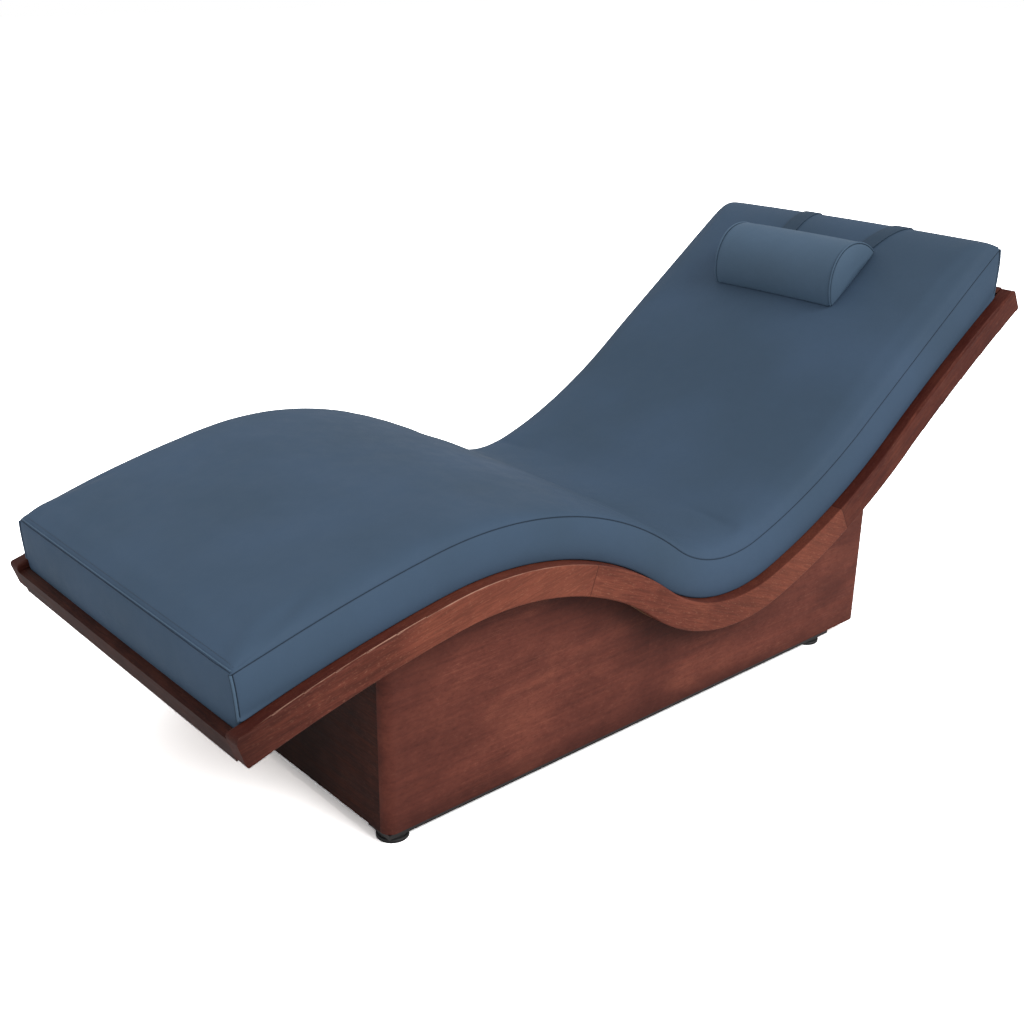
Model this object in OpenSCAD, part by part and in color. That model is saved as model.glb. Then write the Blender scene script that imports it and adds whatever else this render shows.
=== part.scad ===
// Spa relaxation lounger: an S-shaped platform on a box base, with a thick cushion and a neck pillow
// X runs from the foot end to the head end, Y across, Z up, with the floor at zero

/* [Platform line] */
// Height of the side rails' top edge at the foot end
foot_h = 326; // [300:1:360]
// Rise of the platform at the foot end, in degrees
foot_pitch = 17.5; // [16:0.5:19]
// Radius of the leg rest
leg_r = 2600; // [2300:10:2900]
// Turn of the leg rest, in degrees
leg_sweep = 8.6; // [8:0.1:9.2]
// Radius over the knees
knee_r = 600; // [560:5:640]
// Turn over the knees, in degrees
knee_sweep = 48; // [46.5:0.5:49.5]
// Radius of the seat
seat_r = 300; // [280:5:330]
// Turn of the seat, in degrees
seat_sweep = 57.5; // [56:0.5:59]
// Radius of the lower back
back_r = 1150; // [1050:10:1250]
// Turn of the lower back, in degrees
back_sweep = 19.5; // [18.5:0.5:20.5]
// Radius of the head end, which curves the other way
crest_r = 3500; // [3200:10:3800]
// Turn of the head end, in degrees
crest_sweep = 7; // [6.5:0.1:7.5]

/* [Platform] */
// Width over the side rails
overall_w = 760; // [700:5:820]
// Thickness of a side rail
rail_t = 30; // [26:1:34]
// Depth of a side rail, square to the platform line
rail_depth = 54; // [50:1:60]
// Radius of the eased edges of a side rail
rail_ease = 4; // [2:0.5:6]
// Radius of the rounded ends of a side rail
rail_end_r = 9; // [5:0.5:12]
// Thickness of the rails across the foot and the head
end_rail_t = 18; // [15:1:22]
// Top of the foot rail below the side rails' top
foot_rail_drop = 12; // [8:1:16]
// Top of the head rail below the side rails' top
head_rail_drop = 2; // [1:1:10]
// Top of the deck below the side rails' top
deck_drop = 22; // [18:1:24]
// Thickness of the bent plywood deck
deck_t = 12; // [9:1:14]
// Width of the cleats under the deck's edges
cleat_w = 14; // [12:1:18]
// Width of the rails across under the overhangs, along the platform line
cross_rail_w = 40; // [30:1:60]
// Radius of the dowels in the end rails
dowel_r = 4; // [3:0.5:4.5]
// Length of those dowels
dowel_len = 40; // [30:1:50]

/* [Base] */
// Foot panel's outer face from the platform's foot end
base_setback = 276; // [250:1:300]
// Length of the box base
base_len = 1196; // [1120:1:1240]
// Thickness of the base panels
panel_t = 20; // [18:1:24]
// Radius of the base's outer upright corners
corner_r = 19; // [10:1:19]
// Thickness of the two bulkheads inside
bulkhead_t = 18; // [15:1:22]
// Width of the square blocks inside the corners
block_w = 40; // [36:1:50]
// Height of those blocks
block_h = 70; // [60:1:90]
// Thickness of the runners under the side panels
runner_t = 8; // [6:0.5:10]
// Width of a runner
runner_w = 56; // [52:1:60]
// End of the runners short of the head panel's face
runner_head_inset = 88; // [70:1:96]
// Outer edge of a runner inside the base's face
runner_inset = 2; // [1:0.5:4]

/* [Fasteners] */
// Shank radius of the bolts that hold the platform to the base
bolt_r = 4; // [3:0.5:4.5]
// Length of those bolts under the head
bolt_len = 52; // [50:1:56]
// Radius of those bolts' heads
bolt_head_r = 7.5; // [7:0.5:9]
// Height of those bolts' heads
bolt_head_h = 4.5; // [3:0.5:6]
// Outer radius of the threaded inserts in the side rails
insert_r = 6; // [5.5:0.5:7]
// Length of those inserts
insert_len = 18; // [15:1:20]
// Shank radius of the runner screws
screw_r = 2.5; // [2:0.5:3]
// Head radius of the runner screws
screw_head_r = 5; // [4:0.5:6]
// Length of the runner screws
screw_len = 40; // [34:1:46]

/* [Levelling feet] */
// Radius of a foot's pad
pad_r = 27; // [24:1:30]
// Height of a foot's pad
pad_h = 12; // [10:0.5:14]
// Gap between a pad and the runner when it is screwed right in
pad_gap = 3; // [2:0.5:5]
// Radius of the threaded stem
stem_r = 5; // [4:0.5:6]
// Height of the stem inside the base when the foot is screwed right out
stem_grip = 35; // [30:1:38]
// Foot centres from the base's foot and side faces
pad_inset = 32; // [30:1:36]
// Centres of the head end's feet from the head panel's face
head_pad_inset = 122; // [118:1:130]
// Travel of a levelling foot
level_travel = 15; // [8:1:20]

/* [Cushion] */
// Height of the cushion's seam above the side rails' top
cushion_rise = 70; // [60:1:80]
// Height of the cushion's crown over its seams, at the back
cushion_crown = 42; // [24:1:46]
// Width of the rounded shoulders between the seams and the crown
cushion_shoulder = 55; // [40:1:70]
// How far the cushion laps over the top of each side rail
cushion_lap = 8; // [5:0.5:10]
// How far the end faces stand out at mid-height
cushion_bulge = 5; // [2:0.5:7]
// Length over which the crown falls away at the two ends
cushion_fall = 75; // [50:1:90]
// Slope of the straight back of the cushion, in degrees
back_pitch = 36; // [35:0.5:36.5]
// Cushion's head face from the head end, along the platform line
cushion_head_inset = 47; // [42:1:56]
// Thickness of the vinyl cover
cover_t = 1.5; // [1:0.1:2.5]
// Thickness of the hook and loop strips under the cushion
grip_t = 1.5; // [1:0.1:2]
// Thickness of the lining under the cushion
lining_t = 0.6; // [0.4:0.1:1]
// Width of those strips
grip_w = 50; // [30:1:60]

/* [Pillow] */
// Length of the pillow across the lounger
pillow_len = 300; // [270:2:330]
// Depth of the pillow along the back
pillow_depth = 162; // [146:1:170]
// Height of the pillow
pillow_h = 78; // [66:1:84]
// What stays free between the pillow and the cushion's head edge when the pillow is right up
pillow_clear = 59; // [50:1:70]
// Middle of the pillow to the right of the lounger's middle
pillow_side = 15; // [0:1:40]
// Edges of the pillow's bottom panel inside the pillow's outline
pillow_seam_inset = 8; // [5:1:12]
// Travel of the pillow up the back
pillow_up = 40; // [20:1:50]
// Travel of the pillow down the back
pillow_down = 120; // [80:1:150]

/* [Straps] */
// Width of a strap
strap_w = 36; // [30:1:40]
// Thickness of a strap
strap_t = 2; // [1.5:0.1:3]
// Left strap's middle at the head edge, to the left of the lounger's middle
strap_left = -134; // [-140:1:-110]
// Slant of the left strap from the head edge to the pillow
strap_slant = 30; // [0:1:34]
// Right strap's middle
strap_right = 97; // [80:1:110]
// Length of strap that still hangs behind the head end when the pillow is right down
strap_spare = 95; // [80:1:110]
// Radius of the steel bar that weighs the straps
weight_r = 8.5; // [6:0.5:9]
// Length of that bar
weight_len = 274; // [272:1:290]
// Wall of the sleeve round the bar
sleeve_t = 3; // [2:0.5:4]

/* [Hidden] */
$fn = 96;

// Clearance between pieces that touch or fit
fit = 0.3;
// Clearance of a shaft or a screw in its bore
run_fit = 0.05;
// Overrun of cuts
over = 1;
// Share of the lengths that name a place along the platform line
foot_cross_share = 0.5;
back_cross_shares = [0.3, 0.72];
// Bolts along each side, as shares of the base's length
bolt_shares = [0.08, 0.36, 0.64, 0.92];
// Bulkheads and runner screws, as shares of the base's and the runner's length
bulkhead_shares = [0.28, 0.7];
screw_shares = [0.12, 0.37, 0.63, 0.88];
// Hook and loop strips, as shares of the leg rest's and the lower back's length
leg_grip_share = 0.35;
back_grip_share = 0.45;

// Nut, socket and key sizes as shares of their shank's radius
nut_share = 1.85;
nut_rise_share = 1.6;
socket_share = 1.5;
key_share = 0.7;

wood_dark = "#4a2620";
ply = "#b98f63";
black = "#1b1b1d";
steel = "#9a9ca0";
vinyl = "#4a5a6c";
foam = "#e4d9b8";

inner_w = overall_w / 2 - rail_t;
base_half = inner_w - cleat_w - fit;
base_bottom = pad_h + pad_gap + runner_t;

// Tangent arcs of the platform line: radius, turn and side of the turn
arcs = [[leg_r, leg_sweep, -1], [knee_r, knee_sweep, -1], [seat_r, seat_sweep, 1],
  [back_r, back_sweep, 1], [crest_r, crest_sweep, -1]];
last_arc = len(arcs) - 1;

pillow_from_head = pillow_clear + pillow_up + pillow_depth / 2;
strap_hang = strap_spare + pillow_down;

function along(h) = [cos(h), sin(h)];
function square_to(h) = [-sin(h), cos(h)];
function arc_len(i) = arcs[i][0] * arcs[i][1] * PI / 180;
function arc_start(i) = i == 0 ? 0 : arc_start(i - 1) + arc_len(i - 1);
function arc_heading(i) = i == 0 ? foot_pitch : arc_heading(i - 1) + arcs[i - 1][2] * arcs[i - 1][1];
function arc_turned(i, a) = arc_begin(i)
  + arcs[i][2] * arcs[i][0] * (square_to(arc_heading(i)) - square_to(arc_heading(i) + arcs[i][2] * a));
function arc_begin(i) = i == 0 ? [0, foot_h] : arc_turned(i - 1, arcs[i - 1][1]);

starts = [for (i = [0:last_arc]) arc_start(i)];
path_len = starts[last_arc] + arc_len(last_arc);
path_end = arc_turned(last_arc, arcs[last_arc][1]);
end_heading = arc_heading(last_arc) - crest_sweep;

function arc_of(s, i = last_arc) = i == 0 || s >= starts[i] ? i : arc_of(s, i - 1);
function turned(s) = let (i = arc_of(s)) (s - starts[i]) / arcs[i][0] * 180 / PI;
function heading(s) = let (i = arc_of(s)) arc_heading(i) + arcs[i][2] * turned(s);
// Point of the platform line at length s, moved up square to it by d
function on_path(s, d) = arc_turned(arc_of(s), turned(s)) + d * square_to(heading(s));

// The rear corner of the rails, round which the straps hang
rear_corner = on_path(path_len, -rail_depth);
strap_x = rear_corner[0] + fit + strap_t / 2;
back_reach = strap_x + weight_r + sleeve_t;
// Shift that puts the origin under the middle of the whole
x_shift = -back_reach / 2;

base_x0 = base_setback;
base_x1 = base_setback + base_len;
runner_x0 = base_x0 + panel_t - corner_r + pad_gap;
runner_x1 = base_x1 - runner_head_inset;

// Arc length at which the platform line, moved by d, passes x, found by halving
function s_at_x(x, d, lo = 0, hi = path_len, n = 40) = n == 0 ? (lo + hi) / 2 :
  let (mid = (lo + hi) / 2)
    on_path(mid, d)[0] < x ? s_at_x(x, d, mid, hi, n - 1) : s_at_x(x, d, lo, mid, n - 1);

// Section of a band round an arc, with eased corners
module band_section(lo, hi, half, ease) {
  if (ease > 0) {
    translate([lo, ease - half]) square([hi - lo, 2 * (half - ease)]);
    translate([lo + ease, -half]) square([hi - lo - 2 * ease, 2 * half]);
    for (x = [lo + ease, hi - ease], y = [ease - half, half - ease])
      translate([x, y]) circle(ease);
  } else {
    translate([lo, -half]) square([hi - lo, 2 * half]);
  }
}

// Placing in whole, small and fine steps, so that neighbouring arcs meet exactly
small_step = 0.001;
module placed(p) {
  whole = [for (v = p) floor(v)];
  small = [for (v = p - whole) floor(v / small_step) * small_step];
  translate(whole) translate(small) translate(p - whole - small) children();
}

// Band that follows the platform line from s0 to s1, from d0 to d1 above it, from y0 to y1 across
module path_band(s0, s1, d0, d1, y0, y1, ease = 0) {
  for (i = [0:last_arc]) {
    from = max(s0, starts[i]);
    to = min(s1, starts[i] + arc_len(i));
    if (to > from) {
      r = arcs[i][0];
      side = arcs[i][2];
      h0 = arc_heading(i) + side * (from - starts[i]) / r * 180 / PI;
      h1 = arc_heading(i) + side * (to - starts[i]) / r * 180 / PI;
      centre = arc_begin(i) + side * r * square_to(arc_heading(i));
      placed([centre[0], (y0 + y1) / 2, centre[1]])
        rotate([90, 0, 0])
        rotate_extrude(angle = abs(h1 - h0), start = side < 0 ? h1 + 90 : h0 - 90, $fn = 360)
        band_section(side < 0 ? r + d0 : r - d1, side < 0 ? r + d1 : r - d0, (y1 - y0) / 2, ease);
    }
  }
}

// Space past a rounded end, cut from a rail: at the path end, pointing outwards along heading h
module end_round(point, h, outward) {
  reach = rail_end_r + over;
  for (side = [-1, 1])
    translate([point[0], 0, point[1]])
      rotate([0, -h, 0])
      scale([outward, 1, side])
      translate([-rail_end_r, 0, rail_depth / 2 - rail_end_r])
      rotate([90, 0, 0])
      linear_extrude(overall_w + 2 * over, center = true)
      difference() {
        square(reach);
        circle(rail_end_r);
      }
}

// Hole or pin across the lounger, at arc length s and d above the line, from y0 to y1
module across(s, d, y0, y1, r) {
  p = on_path(s, d);
  translate([p[0], y1, p[1]])
    rotate([90, 0, 0])
    cylinder(h = y1 - y0, r = r);
}

// Arc lengths and heights of what goes through the rails
bolt_d = -(rail_depth + deck_drop + deck_t) / 2;
bolt_s = [for (k = bolt_shares) s_at_x(base_x0 + k * base_len, bolt_d)];
foot_dowel_s = end_rail_t / 2;
head_dowel_s = path_len - end_rail_t / 2;
foot_dowel_d = [for (k = [1, 3]) -foot_rail_drop - k * (rail_depth - foot_rail_drop) / 4];
head_dowel_d = [for (k = [1, 3]) -head_rail_drop - k * (rail_depth - head_rail_drop) / 4];

// Both dowel rows of one end, with room round them
module dowel_rows(side, room) {
  y0 = inner_w - dowel_len / 2 - room;
  y1 = inner_w + dowel_len / 2 + room;
  for (d = foot_dowel_d)
    across(foot_dowel_s, d, side < 0 ? -y1 : y0, side < 0 ? -y0 : y1, dowel_r + room);
  for (d = head_dowel_d)
    across(head_dowel_s, d, side < 0 ? -y1 : y0, side < 0 ? -y0 : y1, dowel_r + room);
}

module side_rail(side) {
  y0 = side < 0 ? -overall_w / 2 : inner_w;
  color(wood_dark)
    translate([x_shift, 0, 0])
    difference() {
      path_band(0, path_len, -rail_depth, 0, y0, y0 + rail_t, rail_ease);
      end_round(on_path(0, -rail_depth / 2), foot_pitch, -1);
      end_round(on_path(path_len, -rail_depth / 2), end_heading, 1);
      for (s = bolt_s)
        across(s, bolt_d, side < 0 ? -inner_w - insert_len - fit : inner_w - over,
          side < 0 ? over - inner_w : inner_w + insert_len + fit, insert_r + run_fit);
      dowel_rows(side, run_fit);
    }
}

module left_side_rail() side_rail(-1);

module right_side_rail() side_rail(1);

module end_rail(s0, drop) {
  color(wood_dark)
    translate([x_shift, 0, 0])
    difference() {
      path_band(s0, s0 + end_rail_t, -rail_depth, -drop, -inner_w, inner_w);
      dowel_rows(-1, run_fit);
      dowel_rows(1, run_fit);
    }
}

module foot_end_rail() end_rail(0, foot_rail_drop);

module head_end_rail() end_rail(path_len - end_rail_t, head_rail_drop);

module end_rail_dowels() {
  color(ply)
    translate([x_shift, 0, 0]) {
      dowel_rows(-1, 0);
      dowel_rows(1, 0);
    }
}

cleat_top = -deck_drop - deck_t;
deck_s0 = end_rail_t + fit;
deck_s1 = path_len - end_rail_t - fit;

module deck_panel() {
  color(ply)
    translate([x_shift, 0, 0])
    path_band(deck_s0, deck_s1, cleat_top, -deck_drop, -inner_w, inner_w);
}

module deck_cleat(side) {
  y0 = side < 0 ? -inner_w : inner_w - cleat_w;
  color(ply)
    translate([x_shift, 0, 0])
    difference() {
      path_band(deck_s0, deck_s1, -rail_depth, cleat_top, y0, y0 + cleat_w);
      for (s = bolt_s)
        across(s, bolt_d, y0 - over, y0 + cleat_w + over, bolt_r + fit);
    }
}

module left_deck_cleat() deck_cleat(-1);

module right_deck_cleat() deck_cleat(1);

module cross_rail(s) {
  y = inner_w - cleat_w;
  color(ply)
    translate([x_shift, 0, 0])
    path_band(s - cross_rail_w / 2, s + cross_rail_w / 2, -rail_depth, cleat_top - fit, -y, y);
}

foot_over_s = s_at_x(base_x0, cleat_top);
head_over_s = s_at_x(base_x1, -rail_depth);

module foot_cross_rail() cross_rail(foot_cross_share * foot_over_s);

module back_cross_rail() cross_rail(head_over_s + back_cross_shares[0] * (path_len - head_over_s));

module head_cross_rail() cross_rail(head_over_s + back_cross_shares[1] * (path_len - head_over_s));

// Outline of the base under the deck, between two places along X
underside_steps = 90;
module base_outline(x0, x1) {
  s0 = s_at_x(x0, cleat_top - fit);
  s1 = s_at_x(x1, cleat_top - fit);
  steps = max(2, ceil(underside_steps * (x1 - x0) / base_len));
  top = [for (k = [0:steps]) on_path(s0 + (s1 - s0) * k / steps, cleat_top - fit)];
  polygon(concat([[x0, base_bottom]], [[x0, top[0][1]]], [for (k = [1:steps - 1]) top[k]],
    [[x1, top[steps][1]], [x1, base_bottom]]));
}

// Upright slab of the base's outline, from y0 to y1
module base_slab(x0, x1, y0, y1) {
  translate([0, y1, 0])
    rotate([90, 0, 0])
    linear_extrude(y1 - y0)
    base_outline(x0, x1);
}

module base_side_panel(side) {
  y0 = side < 0 ? -base_half : base_half - panel_t;
  color(wood_dark)
    translate([x_shift, 0, 0])
    difference() {
      base_slab(base_x0, base_x1, y0, y0 + panel_t);
      for (x = [base_x0, base_x1])
        translate([x, side * base_half, base_bottom - over])
          scale([x == base_x0 ? 1 : -1, -side, 1])
          difference() {
            translate([-over, -over, 0]) cube([corner_r + over, corner_r + over, overall_w]);
            translate([corner_r, corner_r, -over]) cylinder(h = overall_w + 2 * over, r = corner_r);
          }
      for (s = bolt_s)
        across(s, bolt_d, y0 - over, y0 + panel_t + over, bolt_r + fit);
      runner_screw_row(side, run_fit);
    }
}

module base_left_panel() base_side_panel(-1);

module base_right_panel() base_side_panel(1);

module base_cross_panel(x0, t) {
  y = base_half - panel_t;
  translate([x_shift, 0, 0])
    base_slab(x0, x0 + t, -y, y);
}

module base_foot_panel() color(wood_dark) base_cross_panel(base_x0, panel_t);

module base_head_panel() color(wood_dark) base_cross_panel(base_x1 - panel_t, panel_t);

module foot_bulkhead() color(ply) base_cross_panel(base_x0 + bulkhead_shares[0] * base_len, bulkhead_t);

module head_bulkhead() color(ply) base_cross_panel(base_x0 + bulkhead_shares[1] * base_len, bulkhead_t);

// Places of the levelling feet: foot or head end, left or right
foot_x = base_x0 + pad_inset;
head_x = base_x1 - head_pad_inset;
pad_y = base_half - pad_inset;
nut_r = stem_r * nut_share;
nut_h = stem_r * nut_rise_share;
stem_h = stem_grip + level_travel;

// Pair of square blocks against the side panels, drilled for the stem where one is named
module block_pair(x0, stem_x) {
  color(ply)
    translate([x_shift, 0, 0])
    for (side = [-1, 1])
      difference() {
        translate([x0, side < 0 ? panel_t - base_half : base_half - panel_t - block_w, base_bottom])
          cube([block_w, block_w, block_h]);
        if (stem_x > 0) {
          translate([stem_x, side * pad_y, base_bottom - over])
            cylinder(h = stem_h + over, r = stem_r + over);
          translate([stem_x, side * pad_y, base_bottom - over])
            cylinder(h = nut_h + fit + over, r = nut_r + fit);
        }
      }
}

module foot_corner_blocks() block_pair(base_x0 + panel_t, foot_x);

module head_corner_blocks() block_pair(base_x1 - panel_t - block_w, 0);

module head_foot_blocks() block_pair(head_x - block_w / 2, head_x);

runner_z = base_bottom - runner_t;
screw_y = base_half - panel_t / 2;
screw_head_h = screw_head_r - screw_r;
screw_x = [for (k = screw_shares) runner_x0 + k * (runner_x1 - runner_x0)];

module runner_screw_row(side, room) {
  for (x = screw_x)
    translate([x, side * screw_y, runner_z]) {
      cylinder(h = screw_len + room, r = screw_r + room);
      if (room > 0)
        translate([0, 0, -over]) cylinder(h = over + room, r = screw_head_r + room);
      cylinder(h = screw_head_h + room, r1 = screw_head_r + room, r2 = screw_r + room);
    }
}

module runner(side) {
  y0 = side < 0 ? runner_inset - base_half : base_half - runner_inset - runner_w;
  color(black)
    translate([x_shift, 0, 0])
    difference() {
      translate([runner_x0, y0, runner_z]) cube([runner_x1 - runner_x0, runner_w, runner_t]);
      for (x = [foot_x, head_x])
        translate([x, side * pad_y, runner_z - over])
          cylinder(h = runner_t + 2 * over, r = stem_r + fit);
      runner_screw_row(side, run_fit);
    }
}

module left_runner() runner(-1);

module right_runner() runner(1);

module runner_screws() {
  color(steel)
    translate([x_shift, 0, 0]) {
      runner_screw_row(-1, 0);
      runner_screw_row(1, 0);
    }
}

module platform_bolts() {
  y = base_half - panel_t;
  color(steel)
    translate([x_shift, 0, 0])
    for (s = bolt_s, side = [-1, 1])
      difference() {
        union() {
          across(s, bolt_d, side < 0 ? -y - bolt_len : y, side < 0 ? -y : y + bolt_len, bolt_r);
          across(s, bolt_d, side < 0 ? -y : y - bolt_head_h, side < 0 ? bolt_head_h - y : y, bolt_head_r);
        }
        across(s, bolt_d, side < 0 ? bolt_head_h / 3 - y : y - bolt_head_h - over,
          side < 0 ? bolt_head_h + over - y : y - bolt_head_h / 3, bolt_r * key_share, $fn = 6);
      }
}

module rail_inserts() {
  color(steel)
    translate([x_shift, 0, 0])
    for (s = bolt_s, side = [-1, 1])
      difference() {
        across(s, bolt_d, side < 0 ? -inner_w - insert_len : inner_w,
          side < 0 ? -inner_w : inner_w + insert_len, insert_r);
        across(s, bolt_d, side < 0 ? -inner_w - insert_len - over : inner_w - over,
          side < 0 ? over - inner_w : inner_w + insert_len + over, bolt_r + run_fit);
      }
}

module leveller_nuts() {
  color(steel)
    translate([x_shift, 0, 0])
    for (x = [foot_x, head_x], side = [-1, 1])
      translate([x, side * pad_y, base_bottom])
        difference() {
          cylinder(h = nut_h, r = nut_r, $fn = 6);
          translate([0, 0, -over]) cylinder(h = nut_h + 2 * over, r = stem_r + run_fit);
        }
}

// Foot of a levelling foot: a low domed pad with a socket for the stem
socket_r = stem_r * socket_share;
socket_floor = pad_h / 3;
pad_lip = pad_h / 4;

module foot_pad(x, side) {
  color(black)
    translate([x_shift + x, side * pad_y, 0])
    rotate_extrude()
    difference() {
      union() {
        square([pad_r, pad_lip]);
        translate([0, pad_lip]) square([pad_r - pad_lip, pad_h - 2 * pad_lip]);
        translate([pad_r - pad_lip, pad_lip])
          intersection() {
            circle(pad_lip);
            square(pad_lip);
          }
        translate([0, pad_h - pad_lip]) square([socket_r + pad_lip, pad_lip]);
      }
      translate([-over, socket_floor]) square([socket_r + over, pad_h]);
    }
}

module foot_left_pad() foot_pad(foot_x, -1);

module foot_right_pad() foot_pad(foot_x, 1);

module head_left_pad() foot_pad(head_x, -1);

module head_right_pad() foot_pad(head_x, 1);

// Threaded stem with its swivel end in the pad and a spanner flat above it
module foot_stem(x, side) {
  swivel_h = pad_h - socket_floor - fit;
  color(steel)
    translate([x_shift + x, side * pad_y, 0]) {
      translate([0, 0, socket_floor + fit])
        cylinder(h = swivel_h, r = socket_r - run_fit);
      translate([0, 0, pad_h])
        cylinder(h = pad_gap - fit, r = socket_r + fit, $fn = 6);
      translate([0, 0, pad_h])
        cylinder(h = runner_z - pad_h + stem_h - over, r = stem_r);
    }
}

module foot_left_stem() foot_stem(foot_x, -1);

module foot_right_stem() foot_stem(foot_x, 1);

module head_left_stem() foot_stem(head_x, -1);

module head_right_stem() foot_stem(head_x, 1);

// Cushion: sections stand square to the platform line and turn upright towards the end faces
cushion_s0 = end_rail_t + fit + over;
cushion_s1 = path_len - cushion_head_inset;
cushion_bed = grip_t + lining_t + 3 * fit - deck_drop;
arc_steps = [3, 6, 7, 4, 2];
end_run_share = 1.33;
end_run = end_run_share * (cushion_rise + deck_drop);
end_shares = [0, 0.15, 0.45, 1];
cushion_s = concat([for (k = end_shares) cushion_s0 + k * cushion_fall],
  [for (i = [0:last_arc], k = [(i == 0 ? 1 : 0):arc_steps[i] - 1])
    starts[i] + arc_len(i) * k / arc_steps[i]],
  [for (k = [3:-1:0]) cushion_s1 - end_shares[k] * cushion_fall]);

// Straight back: it leaves the curve where that has the back's slope
flat_s = starts[3] + (back_pitch - arc_heading(3)) * back_r * PI / 180;
flat_p = on_path(flat_s, cushion_rise);
function seam_d(s) = s <= flat_s ? cushion_rise :
  (flat_p - on_path(s, 0)) * square_to(back_pitch) / (square_to(heading(s)) * square_to(back_pitch));

// Room under the cushion's edges where the line is convex, as the sections are joined straight
function arc_lift(i) = arcs[i][2] > 0 ? 0 : arcs[i][0] * (1 - cos(arcs[i][1] / arc_steps[i] / 2));
function lift(s) = max([for (k = [-1, 1]) arc_lift(arc_of(s + k * (cover_t + over)))]);

function near_end(s) = min(s - cushion_s0, cushion_s1 - s);
function upright(s) = let (k = max(0, 1 - near_end(s) / end_run)) k * k * (3 - 2 * k);

// Crown along the lounger, as shares of the line's length and of the crown: the cover is drawn tight
// over the knees, and at the two end edges
crown_shares = [[0, 0.62], [0.18, 0.54], [0.31, 0.27], [0.39, 0.27], [0.51, 0.75], [0.6, 0.85], [0.78, 1],
  [1, 1]];
edge_crown = 0.12;
function crown(s) = let (k = max(0, 1 - near_end(s) / cushion_fall))
  cushion_crown * lookup(s / path_len, crown_shares) * (1 - (1 - edge_crown) * k * k);

// Point of a section at y across and d above the line, leaning upright near the ends
function cushion_at(s, y, d) = let (h = heading(s), p = on_path(s, d),
    lean = s < flat_s ? h : h + (back_pitch - h) * min(1, (d - cushion_bed) / (seam_d(s) - cushion_bed)),
    q = p + upright(s) * (on_path(s, cushion_bed)[0] - p[0]) / cos(lean) * along(lean))
  [q[0] + x_shift, y, q[1]];

// Half a section from the bottom edge to the middle: between the rails, the step over them, the side,
// angles of the shoulder from the seam up, and the last rise to the middle
side_share = 0.45;
lap_flare = 1.25;
shoulder_angles = [0, 28, 60, 90];
squareness = 0.7;
shoulder_crown = 0.88;
middle_crown = 0.97;
function half_section(s, in) = let (w = inner_w - fit - in, top = seam_d(s), low = lift(s),
    step = low + fit + in, rise = crown(s) - in, across = cushion_shoulder - in) concat(
  [[w, cushion_bed + low], [w, step], [w + cushion_lap, step],
    [w + lap_flare * cushion_lap, side_share * top]],
  [for (a = shoulder_angles) [w - across * (1 - pow(cos(a), squareness)),
    top + shoulder_crown * rise * pow(sin(a), squareness)]],
  [[w / 2, top + middle_crown * rise], [0, top + rise]]);
function whole(half) = let (n = len(half) - 1)
  concat([for (p = half) [-p[0], p[1]]], [for (k = [n - 1:-1:0]) half[k]]);
function section(s, in) = [for (p = whole(half_section(s, in))) cushion_at(s, p[0], p[1])];

// Ring inside an end face, where the face stands out
face_share = 0.7;
foot_of_face = 0.25;
least_bulge = 0.1;
function face_ring(s, in, way) =
  let (half = half_section(s, in), high = half[len(half) - 1][1] - cushion_bed)
  [for (p = whole(half)) let (up = p[1] - cushion_bed)
    cushion_at(s, face_share * p[0], cushion_bed + face_share * up)
      + [way * cushion_bulge * max(least_bulge, min(1, up / high / foot_of_face)), 0, 0]];

// Section places moved in from both end faces by a length
function moved_in(s, by) = cushion_s0 + by + (s - cushion_s0) * (1 - 2 * by / (cushion_s1 - cushion_s0));
function inner_s(s) = moved_in(s, cover_t);
cushion_outer = concat([face_ring(cushion_s0, 0, -1)], [for (s = cushion_s) section(s, 0)],
  [face_ring(cushion_s1, 0, 1)]);
cushion_inner = concat([face_ring(inner_s(cushion_s0), cover_t, -1)],
  [for (s = cushion_s) section(inner_s(s), cover_t)], [face_ring(inner_s(cushion_s1), cover_t, 1)]);

function flat_list(grid) = [for (row = grid) for (p = row) p];
function quads(n, m, base, out) = [for (i = [0:n - 2], j = [0:m - 2])
  let (a = base + i * m + j, b = a + m) each out
    ? [[a, a + 1, b], [a + 1, b + 1, b]] : [[a, b, a + 1], [a + 1, b, b + 1]]];
// End face of m points from base, as a fan from the middle of the top
function end_fan(m, base, out) = let (c = base + (m - 1) / 2)
  concat([for (j = [base:base + m - 2]) if (j != c && j + 1 != c) out ? [c, j + 1, j] : [c, j, j + 1]],
    [out ? [c, base, base + m - 1] : [c, base + m - 1, base]]);

// Cover that is open below: an outer and an inner skin with a rim between them
module open_shell(outer, inner) {
  n = len(outer);
  m = len(outer[0]);
  t = n * m;
  last = (n - 1) * m;
  side = m - 1;
  rim = [for (i = [0:n - 2]) let (a = i * m, b = a + m, c = a + side, d = b + side) each
    [[a, b, a + t], [b, b + t, a + t], [d, c, c + t], [c + t, d + t, d]]];
  ends = [[side, 0, t], [side, t, t + side], [last, last + side, last + t],
    [last + side, last + side + t, last + t]];
  polyhedron(concat(flat_list(outer), flat_list(inner)), concat(quads(n, m, 0, true), quads(n, m, t, false),
    end_fan(m, 0, true), end_fan(m, last, false), end_fan(m, t, false), end_fan(m, t + last, true),
    rim, ends));
}

// Closed solid through the same kind of sections
module closed_form(grid) {
  n = len(grid);
  m = len(grid[0]);
  below = [for (i = [0:n - 2]) let (a = i * m, b = a + m) each
    [[a, b, a + m - 1], [a + m - 1, b, b + m - 1]]];
  polyhedron(flat_list(grid), concat(quads(n, m, 0, true), end_fan(m, 0, true),
    end_fan(m, (n - 1) * m, false), below));
}

module cushion_cover() color(vinyl) open_shell(cushion_outer, cushion_inner);

module cushion_foam() color(foam) closed_form(cushion_inner);

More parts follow.
